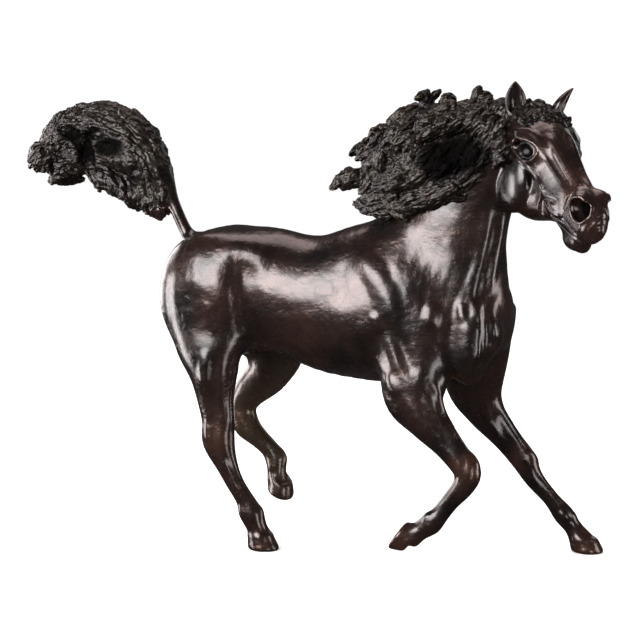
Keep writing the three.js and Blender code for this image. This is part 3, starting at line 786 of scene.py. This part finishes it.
def long_strands(points):
    """Ridges that run round the arch of the tail, and how far they take over from the clumps."""
    x, y, z = (points - (-250, 8, 340)).T
    reach, turn = np.hypot(x, z), np.arctan2(z, x)
    drift = 1.2 * noise(points * 0.05, 21)
    coarse = noise(np.stack([reach * 0.24 + drift, turn * 1.1, y * 0.14], 1), 22)
    return 1.3 - 2.6 * np.abs(coarse), 0.75 * np.clip((points[:, 0] + 268) / 30, 0, 1)


def roughen(points, normals, placed, grain=1.2, crumb=0.8, strands=None):
    """Ridges along the grain of the nearest clump, and crumbs all over."""
    at = np.array([q[0] for q in placed], np.float32)
    axes = np.array([q[1] for q in placed], np.float32)
    nearest = np.concatenate(
        [
            ((part[:, None] - at[None]) ** 2).sum(2).argmin(1)
            for part in np.array_split(points, max(1, len(points) // 20000))
        ]
    )
    local = np.einsum("nij,nj->ni", axes[nearest], points - at[nearest])
    stretched = local * np.array([0.055, 0.34, 0.34]) + nearest[:, None] * 7.31
    ridges = 1 - 2.2 * np.abs(noise(stretched, 3))
    fine = noise(local * np.array([0.12, 0.8, 0.8]) + nearest[:, None] * 3.7, 5)
    if strands is not None:
        run, share = strands(points)
        ridges = ridges + share * (run - ridges)
    lumps = noise(points * 0.17, 7) + 0.5 * noise(points * 0.42, 9)
    move = grain * ridges + 0.25 * grain * fine + crumb * lumps - 0.4 * grain
    return points + normals * move[:, None]


MANE = [
    [
        (210, -36, 436, 11, 13), (184, -28, 434, 15, 18), (150, -20, 429, 18, 22),
        (112, -14, 420, 22, 21), (80, -11, 402, 20, 18), (58, -10, 384, 13, 12),
    ],
    [
        (197, -44, 402, 15, 9), (180, -42, 402, 17, 10), (156, -38, 400, 18, 9),
        (128, -40, 392, 22, 11), (100, -34, 376, 23, 14), (76, -24, 364, 18, 13), (58, -17, 355, 11, 9),
    ],
    [
        (184, -46, 384, 6, 5), (164, -46, 374, 9, 6), (138, -44, 361, 11, 8), (108, -38, 352, 11, 10),
        (78, -26, 347, 11, 9), (52, -16, 344, 7, 6),
    ],
    [
        (200, 0, 420, 14, 9), (156, 10, 406, 18, 12), (114, 13, 388, 20, 13), (80, 8, 370, 16, 12),
        (60, 0, 358, 10, 9),
    ],
    [(64, -13, 374, 10, 9), (44, -13, 371, 8, 7), (29, -13, 371, 7, 6.5)],
]
KNOBS = [
    ((114, -15, 446), (7, 8, 10)), ((136, -16, 448), (8, 9, 8)),
    ((155, -18, 443), (6, 8, 6)), ((174, -22, 450), (8, 9, 8)),
    ((193, -28, 445), (7, 8, 6)), ((91, -13, 430), (9, 9, 9)),
    ((69, -12, 416), (8, 9, 8)), ((49, -12, 399), (7, 8, 8)),
    ((36, -13, 372), (7, 7, 7)), ((58, -13, 366), (9, 9, 9)),
]
EAVES = [
    ((150, -44, 428), (16, 9, 10)), ((172, -47, 428), (14, 9, 9)),
    ((190, -50, 426), (11, 9, 10)), ((201, -53, 417), (8, 8, 11)),
    ((187, -49, 409), (13, 9, 13)), ((176, -48, 396), (14, 8, 12)), ((198, -56, 405), (8, 7, 10)),
    ((126, -44, 424), (13, 9, 9)), ((104, -40, 408), (14, 10, 10)), ((84, -34, 392), (13, 10, 9)),
]
TAIL_DOCK = [
    (-128, 0, 292, 14, 12), (-139, 0, 304, 9, 9), (-146, 0, 316, 6.6, 7), (-154, 0, 332, 6.4, 6.6),
    (-161, 1, 346, 7, 7), (-170, 2, 362, 10, 10),
]
PLUME = [
    (-164, 1, 344, 5, 6), (-174, 3, 360, 15, 13), (-190, 5, 384, 23, 20), (-210, 8, 401, 30, 25),
    (-236, 11, 410, 34, 27), (-262, 13, 413, 30, 26), (-286, 14, 410, 23, 22), (-300, 13, 404, 15, 15),
]
TAIL_EGGS = [
    ((-308, 8, 388), (17, 17, 16)), ((-284, 4, 374), (17, 17, 16)),
    ((-268, 10, 386), (20, 18, 16)), ((-239, 5, 368), (15, 15, 12)),
    ((-220, 4, 360), (16, 14, 13)), ((-202, 4, 350), (16, 13, 12)),
    ((-186, 3, 342), (14, 10, 10)), ((-174, 2, 336), (8, 8, 7)),
]
TAIL_GROOVE = [
    (-282, -10, 418, 5, 6), (-266, -12, 412, 7, 8), (-253, -11, 399, 10, 11),
    (-253, -8, 380, 9, 10), (-248, -6, 364, 6, 8),
]


def mane_mass(block):
    for row in MANE:
        add(block, sweep(row, spacing=6, blunt=0.7), 7)
    for at, size in KNOBS:
        add(block, ellipsoid(at, size), 4)


def mane_hollow(block):
    cut(block, ellipsoid((144, -60, 403), (25, 17, 16)), 7)


def mane_eaves(block):
    for at, size in EAVES:
        add(block, ellipsoid(at, size), 4)


def tail_mass(block):
    add(block, sweep(PLUME, spacing=6, blunt=0.8), 5)
    for at, size in TAIL_EGGS:
        add(block, ellipsoid(at, size), 6)


def tail_hollows(block):
    cut(block, sweep(TAIL_GROOVE, spacing=4, blunt=0.9), 3)
    cut(block, ellipsoid((-240, -16, 413), (10, 10, 6)), 3)
    cut(block, ellipsoid((-293, -8, 377), (5, 9, 8)), 3)
    cut(block, ellipsoid((-222, -23, 397), (21, 11, 13)), 7)


def mane_flow(p):
    low = np.clip((372 - p[2]) / 26, 0, 1)
    return np.array([-0.62, 0, -0.72]) * (1 - low) + np.array([-1, 0, -0.12]) * low


def tail_flow(p):
    x, z = p[0] + 240, p[2] - 352
    return np.array([-z, 0, x]) + np.array([-20, 0, 25])


def forelock_mass(block):
    for at, size in (
        ((16, -14, -3), (14, 12, 7)), ((21, 2, -1), (15, 13, 7)),
        ((22, 15, -3), (14, 10, 7)), ((2, 0, -3), (10, 18, 7)),
    ):
        add(block, head_egg(at, size, 10), 5)


def forelock_flow(p):
    return HEAD_AXES[0] + 0.5 * math.sin(p[1] * 0.5) * HEAD_AXES[1]


def hair_surface(block, placed, grain, crumb, behind=None, strands=None):
    points, faces = mesh_of(block)
    normals = block.slope(points)
    normals /= np.linalg.norm(normals, axis=1)[:, None] + 1e-6
    rough = roughen(points, normals, placed, grain, crumb, strands)
    if behind is not None:
        share = np.clip((behind - points[:, :1]) / 8, 0, 1)
        rough = points + share * (rough - points)
    return rough, faces


def clear_of(block, work, depth):
    """Trims a block so that it reaches only a little way into the forms that other work makes."""
    inner = Block(block.low, block.low + block.step * (block.count - 1), float(block.step))
    for job in work:
        job(inner)
    inner.d = inner.d[tuple(slice(0, n) for n in block.count)]
    block.d = smax(block.d, -(inner.d + depth), 0.5)


def build(low, high, step, work, smoothing=1, details=()):
    block = Block(low, high, step)
    for job in work:
        job(block)
    block.blur(smoothing)
    for job in details:
        job(block)
    return block


def sculpt_head():
    return build(
        (172, -168, 300), (320, 42, 480), 0.8, [body_masses, modelling, head_masses, ears],
        smoothing=2,
        details=[
            head_details, lambda b: [eye(b, s) for s in (-1, 1)],
            lambda b: [nostril(b, s) for s in (-1, 1)], mouth,
        ],
    )


def sculpt_body():
    return build((-190, -80, -4), (290, 85, 440), 1.2, [body_masses, modelling, head_masses], smoothing=4)


def sculpt_mane():
    block = build((10, -75, 325), (232, 40, 470), 1.0, [mane_mass, mane_hollow, mane_eaves])
    placed = clumps(block, 190, mane_flow, np.array([12.0, 5.0, 4.0]), 11)
    clear_of(block, [body_masses, head_masses], 2.5)
    return block, placed


def sculpt_tail():
    block = build((-345, -30, 280), (-115, 55, 462), 1.0, [body_masses, modelling, tail_mass], smoothing=6)
    placed = clumps(
        block, 300, tail_flow, np.array([11.0, 3.6, 2.8]), 12,
        keep=lambda p: p[:, 0] < -164 - 0.25 * np.clip(350 - p[:, 2], 0, 30),
        spacing=4.2, sunk=0.6, stray=0.16,
    )
    tail_hollows(block)
    return block, placed


def sculpt_forelock():
    block = build((200, -90, 400), (290, 10, 480), 0.8, [forelock_mass])
    placed = clumps(block, 60, forelock_flow, np.array([6.0, 3.0, 3.0]), 13, spacing=4)
    clear_of(block, [body_masses, head_masses, ears], 1.5)
    return block, placed


with ThreadPoolExecutor(4) as pool:
    jobs = [pool.submit(f) for f in (sculpt_body, sculpt_head, sculpt_mane, sculpt_tail, sculpt_forelock)]
    body_block, head_block, mane_made, tail_made, lock_made = [job.result() for job in jobs]
mane_block, mane_clumps = mane_made
tail_block, tail_clumps = tail_made
lock_block, lock_clumps = lock_made


def box_about(x, y, z, reach):
    return (x - reach, y - reach, z - reach), (x + reach, y + reach, z + reach)


HEAD_SEAM = seam((207, -37, 405), (0.775, -0.632, 0.02), (172, -115, 335), (330, 60, 480))
NECK_SEAM = seam((138, -8, 312), (0.42, -0.16, 1), (50, -85, 260), (215, 85, 370))
TAIL_SEAM = seam((-146, 0, 311), (-0.55, 0, 1), *box_about(-146, 0, 311, 22))
LEG_SEAMS = {
    "right_hind": seam((-99, -42, 176), (-0.06, 0.1, -1), (-150, -80, 150), (-50, -9, 200)),
    "left_hind": seam((-71, 41, 172), (-0.25, 0, -1), (-120, 9, 150), (-20, 80, 200)),
    "right_fore": seam((117, -47, 160), (0.35, -0.1, -1), (70, -90, 130), (170, -20, 190)),
    "left_fore": seam((154, 38, 160), (0.35, 0.1, -1), (110, 8, 130), (200, 80, 190)),
}
EAR_SEAMS = {
    name: seam(
        on_head(*(np.array(e["base"]) + 0.22 * (np.array(e["tip"]) - e["base"]))),
        (np.array(e["tip"]) - e["base"]) @ HEAD_AXES,
        *box_about(*on_head(*(np.array(e["base"]) + 0.22 * (np.array(e["tip"]) - e["base"]))), 13),
    )
    for name, e in EARS.items()
}
MANE_SEAMS = [seam((x, 0, 400), (1, 0, 0.25), (x - 40, -100, 320), (x + 40, 60, 480)) for x in (92, 132, 170)]
PLUME_SEAM = seam((-160, 1, 345), (-0.3, 0.05, 1), (-200, -60, 300), (-120, 60, 390))
LOBE_SEAM = seam((-252, 13, 414), (-1, 0.1, -0.25), (-300, -80, 320), (-200, 90, 470))


def side_of(points, cut_at):
    """How far the middle of some points lies past a seam."""
    return float((np.mean(points, 0) - cut_at[0]).dot(cut_at[1]))


made = {}


def keep(node, points, faces, seams=()):
    obj = piece(node.replace("_casting", "") + "_bronze", points, faces, seams)
    made[node] = obj
    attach(obj, "root")
    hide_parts(node)


def largest(parts, wanted=lambda points: True):
    return max((p for p in parts if wanted(p[0])), key=lambda p: len(p[0]))


trunk_seams = [HEAD_SEAM, NECK_SEAM, TAIL_SEAM, *LEG_SEAMS.values()]
trunk = divide(*mesh_of(body_block), trunk_seams)
keep("torso_casting", *largest(trunk), trunk_seams)
keep(
    "neck_casting",
    *largest(trunk, lambda p: side_of(p, NECK_SEAM) > 0 > side_of(p, HEAD_SEAM) and p[:, 0].mean() > 0),
    trunk_seams,
)
for name in LEG_SEAMS:
    foot = np.array(HOOVES[name][0])
    leg = largest(trunk, lambda p: np.linalg.norm(p - foot, axis=1).min() < 12 and p[:, 2].max() < 230)
    keep(f"leg_{name}_casting", *leg, trunk_seams)

head_seams = [HEAD_SEAM, *EAR_SEAMS.values()]
skull = divide(*mesh_of(head_block), head_seams)
keep("head_casting", *largest(skull, lambda p: side_of(p, HEAD_SEAM) > 0), head_seams)
for name in EAR_SEAMS:
    tip = on_head(*EARS[name]["tip"])
    keep(name, *largest(skull, lambda p: np.linalg.norm(p.mean(0) - tip) < 25), head_seams)

mane = divide(*hair_surface(mane_block, mane_clumps, 1.3, 0.9), MANE_SEAMS)
for i, name in enumerate(("lower", "middle", "upper", "crown")):
    lock = largest(mane, lambda p: sum(side_of(p, at) > 0 for at in MANE_SEAMS) == i)
    keep(f"mane_{name}_casting", *lock, MANE_SEAMS)

tail_seams = [TAIL_SEAM, PLUME_SEAM, LOBE_SEAM]
tail = divide(*hair_surface(tail_block, tail_clumps, 1.1, 0.9, behind=-159, strands=long_strands), tail_seams)
dock = largest(tail, lambda p: side_of(p, TAIL_SEAM) > 0 > side_of(p, PLUME_SEAM) and len(p) < 20000)
keep("tail_dock_casting", *dock, tail_seams)
keep(
    "tail_plume_casting",
    *largest(tail, lambda p: side_of(p, PLUME_SEAM) > 0 > side_of(p, LOBE_SEAM)),
    tail_seams,
)
keep("tail_lobe_casting", *largest(tail, lambda p: side_of(p, LOBE_SEAM) > 0), tail_seams)
keep("forelock_casting", *hair_surface(lock_block, lock_clumps, 0.7, 0.6))

# ---- materials ---------------------------------------------------------------------------------------------


class Nodes:
    """A small helper to write a node material as expressions."""

    def __init__(self, name):
        self.material = bpy.data.materials.new(name)
        self.material.use_nodes = True
        self.tree = self.material.node_tree
        self.shader = self.tree.nodes["Principled BSDF"]
        self.where = self.tree.nodes.new("ShaderNodeTexCoord").outputs["Object"]
        self.geometry = self.tree.nodes.new("ShaderNodeNewGeometry")

    def link(self, source, socket):
        if isinstance(source, (int, float)):
            socket.default_value = source
        elif isinstance(source, tuple):
            socket.default_value = (*source, 1) if len(source) == 3 and socket.type == "RGBA" else source
        else:
            self.tree.links.new(source, socket)

    def noise(self, scale, detail=2.0, where=None, rough=0.5):
        n = self.tree.nodes.new("ShaderNodeTexNoise")
        n.inputs["Scale"].default_value = scale
        n.inputs["Detail"].default_value = detail
        n.inputs["Roughness"].default_value = rough
        self.link(where or self.where, n.inputs["Vector"])
        return n.outputs["Fac"]

    def cells(self, scale):
        n = self.tree.nodes.new("ShaderNodeTexVoronoi")
        n.inputs["Scale"].default_value = scale
        self.link(self.where, n.inputs["Vector"])
        return n.outputs["Distance"]

    def stretched(self, turn, scale):
        n = self.tree.nodes.new("ShaderNodeMapping")
        n.inputs["Rotation"].default_value = [math.radians(a) for a in turn]
        n.inputs["Scale"].default_value = scale
        self.link(self.where, n.inputs["Vector"])
        return n.outputs["Vector"]

    def band(self, value, low, high, out_low=0.0, out_high=1.0):
        n = self.tree.nodes.new("ShaderNodeMapRange")
        self.link(value, n.inputs["Value"])
        for key, v in (("From Min", low), ("From Max", high), ("To Min", out_low), ("To Max", out_high)):
            n.inputs[key].default_value = v
        return n.outputs["Result"]

    def math(self, op, a, b):
        n = self.tree.nodes.new("ShaderNodeMath")
        n.operation = op
        self.link(a, n.inputs[0])
        self.link(b, n.inputs[1])
        return n.outputs["Value"]

    def mix(self, share, a, b):
        n = self.tree.nodes.new("ShaderNodeMix")
        n.data_type = "RGBA"
        self.link(share, n.inputs["Factor"])
        self.link(a, n.inputs["A"])
        self.link(b, n.inputs["B"])
        return n.outputs["Result"]

    def attribute(self, name):
        n = self.tree.nodes.new("ShaderNodeAttribute")
        n.attribute_name = name
        return n.outputs["Fac"]

    def bump(self, height, distance, under=None):
        n = self.tree.nodes.new("ShaderNodeBump")
        n.inputs["Distance"].default_value = distance
        self.link(height, n.inputs["Height"])
        if under is not None:
            self.link(under, n.inputs["Normal"])
        return n.outputs["Normal"]


def finish_shader(m, colour, rough, normal, metallic, coat, coat_rough):
    m.link(colour, m.shader.inputs["Base Color"])
    m.link(rough, m.shader.inputs["Roughness"])
    m.link(normal, m.shader.inputs["Normal"])
    m.shader.inputs["Metallic"].default_value = metallic
    if coat is not None:
        m.shader.inputs["Coat Weight"].default_value = coat
    m.shader.inputs["Coat Roughness"].default_value = coat_rough
    return m.material


BLACK = (0.006, 0.0036, 0.0032)
BROWN = (0.026, 0.0115, 0.0080)
CHESTNUT = (0.10, 0.038, 0.020)
OLIVE = (0.060, 0.040, 0.022)
GOLD = (0.26, 0.18, 0.09)


def smooth_patina():
    m = Nodes("smooth_bronze")
    point = m.geometry.outputs["Pointiness"]
    cloud = m.noise(22, 4)
    colour = m.mix(m.band(cloud, 0.35, 0.7), BLACK, BROWN)
    rubbed = m.math("MULTIPLY", m.band(point, 0.52, 0.60), m.band(m.noise(70, 3), 0.35, 0.6))
    rubbed = m.math("MULTIPLY", rubbed, m.attribute("open"))
    colour = m.mix(rubbed, colour, CHESTNUT)
    touched = m.math("MULTIPLY", m.attribute("rub"), m.band(m.noise(45, 4), 0.3, 0.7, 0.0, 0.5))
    colour = m.mix(touched, colour, CHESTNUT)
    colour = m.mix(m.math("MULTIPLY", m.attribute("olive"), 0.6), colour, OLIVE)
    hollow = m.math("MULTIPLY", m.band(point, 0.485, 0.44), m.attribute("open"))
    # painted shade: the shade attribute darkens the eyeballs and nostril holes to near-black, on top of the
    # dark patina in hollows
    hollow = m.math("MAXIMUM", hollow, m.attribute("shade"))
    colour = m.mix(hollow, colour, (0.002, 0.0015, 0.0015))
    strokes = m.noise(1.0, 3, m.stretched((20, 50, 15), (120, 70, 420)))
    rough = m.band(m.math("ADD", m.noise(110, 4), m.math("MULTIPLY", strokes, 0.4)), 0.45, 0.95, 0.22, 0.38)
    pits = m.band(m.cells(260), 0.0, 0.16)
    few = m.band(m.noise(38, 2), 0.52, 0.64)
    pits = m.math("SUBTRACT", 1.0, m.math("MULTIPLY", m.math("SUBTRACT", 1.0, pits), few))
    normal = m.bump(pits, 0.0004)
    normal = m.bump(m.noise(60, 3), 0.0022, normal)
    normal = m.bump(strokes, 0.0002, normal)
    deep = m.attribute("deep")
    rough = m.math("ADD", rough, m.math("MULTIPLY", deep, 0.6))
    # the painted shade on eyeballs and nostrils also loses most of its coat and specular
    covered = m.math("MAXIMUM", deep, m.math("MULTIPLY", m.attribute("shade"), 0.7))
    m.link(m.band(covered, 0, 1, 0.6, 0.0), m.shader.inputs["Coat Weight"])
    m.link(m.band(m.attribute("shade"), 0, 1, 0.5, 0.1), m.shader.inputs["Specular IOR Level"])
    return finish_shader(m, colour, rough, normal, 0.6, None, 0.2)


def hair_patina():
    m = Nodes("hair_bronze")
    point = m.geometry.outputs["Pointiness"]
    colour = m.mix(m.band(m.noise(40, 4), 0.35, 0.7), BLACK, (0.015, 0.011, 0.0065))
    # pool is painted shadow: the crest tint is held back there
    pool = m.attribute("pool")
    crest = m.math("MULTIPLY", m.band(point, 0.53, 0.66), m.attribute("open"))
    crest = m.math("MULTIPLY", crest, m.band(pool, 0, 1, 1, 0.1))
    tint = m.mix(m.band(m.noise(26, 2), 0.42, 0.6), CHESTNUT, GOLD)
    colour = m.mix(m.math("MULTIPLY", crest, m.band(m.noise(30, 3), 0.4, 0.65, 0.05, 0.8)), colour, tint)
    hollow = m.math("MULTIPLY", m.band(point, 0.48, 0.40), m.attribute("open"))
    colour = m.mix(hollow, colour, (0.003, 0.002, 0.002))
    # painted shadow: near-black colour where pool is set
    colour = m.mix(m.band(pool, 0, 1, 0, 0.9), colour, (0.001, 0.0008, 0.0008))
    rough = m.math("ADD", m.band(m.noise(160, 3), 0.3, 0.7, 0.25, 0.5), m.math("MULTIPLY", pool, 0.35))
    normal = m.bump(m.noise(330, 3), 0.0009)
    m.link(m.band(pool, 0, 1, 0.2, 0.0), m.shader.inputs["Coat Weight"])
    m.link(m.band(pool, 0, 1, 0.5, 0.1), m.shader.inputs["Specular IOR Level"])
    return finish_shader(m, colour, rough, normal, 0.7, None, 0.2)


def raw_metal(name, colour, other, metallic, rough):
    m = Nodes(name)
    tone = m.mix(m.noise(90, 4), colour, other)
    surface = m.band(m.noise(300, 3), 0.3, 0.7, rough - 0.08, rough + 0.1)
    return finish_shader(m, tone, surface, m.bump(m.noise(500, 2), 0.0002), metallic, 0.0, 0.1)


materials = {
    "smooth_bronze": smooth_patina(),
    "hair_bronze": hair_patina(),
    "raw_bronze": raw_metal("raw_bronze", (0.42, 0.27, 0.13), (0.5, 0.34, 0.18), 1.0, 0.42),
    "dowel_steel": raw_metal("dowel_steel", (0.5, 0.51, 0.52), (0.6, 0.61, 0.62), 1.0, 0.3),
}
slots = {entry["node"]: entry["material_slot"] for entry in frame["record"]["subparts"]}
ALL_SEAMS = [HEAD_SEAM, NECK_SEAM, *tail_seams, *LEG_SEAMS.values(), *EAR_SEAMS.values(), *MANE_SEAMS]
# eyeballs and nostril holes that get painted shade
EYEBALLS = [  # middle and reach along the head's axes
    (on_head(EYE_MIDDLE[0] - 1, side * (EYE_MIDDLE[1] - 1.5), EYE_MIDDLE[2] - 0.5), (15.5, 6, 7.2))
    for side in (-1, 1)
]
NOSTRILS = [(on_head(137, 9 * side, -22), (11, 14, 11)) for side in (-1, 1)]
OLIVE_LEG = (-72, 52, 108)
PAINTED_SHADOW_SPOTS = [  # painted shadow in the hollows of the mane and tail: middle and reach
    ((160, -44, 398), (34, 26, 20)), ((138, -44, 392), (22, 24, 20)),
    ((-253, -10, 396), (12, 16, 22)), ((-268, -10, 412), (14, 14, 8)),
    ((-225, -16, 399), (18, 10, 11)),
]
RUBBED = [  # the spots that hands and cloths reach: x, y, z and how far the wear spreads
    (*on_head(110, 0, -8), 22), (*on_head(45, 29, -12), 10), (168, -55, 100, 20),
    (200, 52, 92, 18), (-94, -43, 112, 16), (100, -57, 34, 24),
    (262, 62, 6, 20), (-46, -38, 6, 20), (-102, 40, 122, 14),
]


def within(points, at, radii):
    """1 inside an egg along the head's axes, fading to 0 at its edge."""
    level = np.sqrt((((points - at) @ HEAD_AXES.T / radii) ** 2).sum(1))
    return np.clip((1.05 - level) / 0.12, 0, 1)


for node, obj in made.items():
    smooth = slots[node] == "smooth_bronze" or node == "tail_dock_casting"
    obj.data.materials.append(materials["smooth_bronze" if smooth else slots[node]])
    points = (np.array([v.co for v in obj.data.vertices]) - ORIGIN) * 1000
    free = np.ones(len(points), np.float32)
    for at, normal, low, high in ALL_SEAMS:
        close = np.abs((points - at) @ normal) < 3.5
        if low is not None:
            close &= ((points > low) & (points < high)).all(1)
        free[close] = 0
    obj.data.attributes.new("open", "FLOAT", "POINT").data.foreach_set("value", free)
    if not smooth:
        # pool: painted shadow in the hollows of the mane and tail, fading out round each spot
        pool = np.zeros(len(points), np.float32)
        for at, radii in PAINTED_SHADOW_SPOTS:
            level = np.linalg.norm((points - at) / radii, axis=1)
            pool = np.maximum(pool, np.clip((1.25 - level) / 0.5, 0, 1))
        obj.data.attributes.new("pool", "FLOAT", "POINT").data.foreach_set("value", pool.astype(np.float32))
        continue
    rub = np.zeros(len(points), np.float32)
    for x, y, z, spread in RUBBED:
        rub = np.maximum(rub, np.clip(1.4 - np.linalg.norm(points - (x, y, z), axis=1) / spread, 0, 1))
    # deep marks the nostril holes; shade is painted shade on the nostril holes and the eyeballs
    deep = np.max([within(points, *nostril_at) for nostril_at in NOSTRILS], 0)
    shade = np.max([deep, *(within(points, *eyeball) for eyeball in EYEBALLS)], 0)
    olive = np.clip(1.5 - np.linalg.norm((points - OLIVE_LEG) / (60, 34, 100), axis=1), 0, 1)
    for name, values in (("rub", rub), ("olive", olive), ("shade", shade), ("deep", deep)):
        obj.data.attributes.new(name, "FLOAT", "POINT").data.foreach_set("value", values.astype(np.float32))
for node, obj in frame["nodes"].items():
    obj.data.materials.clear()
    obj.data.materials.append(materials[slots[node]])

# ---- stage -------------------------------------------------------------------------------------------------

CAMERA_TURN = 20
CAMERA_RISE = 7
CAMERA_AWAY = 2.0
size = cad_high - cad_low
target = Vector((ORIGIN[0], ORIGIN[1], cad_low.z + size.z * 0.4905))


def aim(obj, at, rise, turn, away):
    r, t = math.radians(rise), math.radians(turn)
    back = Vector((math.sin(t) * math.cos(r), -math.cos(t) * math.cos(r), math.sin(r)))
    obj.location = at + back * away
    obj.rotation_euler = (-back).to_track_quat("-Z", "Y").to_euler()


camera = bpy.data.objects.new("camera", bpy.data.cameras.new("camera"))
bpy.context.scene.collection.objects.link(camera)
camera.data.sensor_width = 36
camera.data.lens = 112.5
camera.data.clip_start = 0.05
aim(camera, target, CAMERA_RISE, CAMERA_TURN, CAMERA_AWAY)
bpy.context.scene.camera = camera


def softbox(name, rise, turn, away, width, height, power, colour=(1, 1, 1)):
    lamp = bpy.data.lights.new(name, "AREA")
    lamp.shape = "RECTANGLE"
    lamp.size, lamp.size_y = width, height
    lamp.energy = power
    lamp.color = colour
    obj = bpy.data.objects.new(name, lamp)
    bpy.context.scene.collection.objects.link(obj)
    aim(obj, target, rise, turn, away)
    return obj


softbox("key", 21, -25, 1.6, 1.05, 0.9, 46, (1, 0.98, 0.99))
softbox("side", -4, -74, 1.6, 0.5, 0.9, 20, (1, 0.96, 0.97))
softbox("rear", 8, -114, 1.6, 1.0, 1.0, 16, (1, 0.92, 0.93))
softbox("breast", -8, 44, 1.6, 0.35, 0.6, 6, (1, 0.95, 0.93))
softbox("front", 0, 94, 1.6, 0.5, 1.0, 12, (1, 0.95, 0.93))
softbox("top", 68, -160, 1.6, 1.3, 0.9, 10, (1, 0.82, 0.8))
softbox("far", 20, 165, 1.6, 0.7, 0.7, 1.5)

world = bpy.data.worlds.new("studio")
world.use_nodes = True
sky = world.node_tree.nodes["Background"]
sky.inputs["Strength"].default_value = 1.0
path = world.node_tree.nodes.new("ShaderNodeLightPath")
shade = world.node_tree.nodes.new("ShaderNodeMix")
shade.data_type = "RGBA"
shade.inputs["A"].default_value = (1.1, 1.1, 1.1, 1)
shade.inputs["B"].default_value = (0.05, 0.045, 0.045, 1)
world.node_tree.links.new(path.outputs["Is Glossy Ray"], shade.inputs["Factor"])
world.node_tree.links.new(shade.outputs["Result"], sky.inputs["Color"])
bpy.context.scene.world = world
bpy.context.scene.view_settings.view_transform = "Standard"

FLOOR_SIZE = 30
bpy.ops.mesh.primitive_plane_add(size=FLOOR_SIZE, location=(0, 0, cad_low.z))
floor = bpy.context.object
floor.name = "floor"
floor.visible_glossy = False
floor_material = bpy.data.materials.new("floor")
floor_material.use_nodes = True
floor_shader = floor_material.node_tree.nodes["Principled BSDF"]
floor_shader.inputs["Base Color"].default_value = (0.93, 0.93, 0.93, 1)
floor_shader.inputs["Roughness"].default_value = 1.0
floor_shader.inputs["Specular IOR Level"].default_value = 0.0
floor.data.materials.append(floor_material)
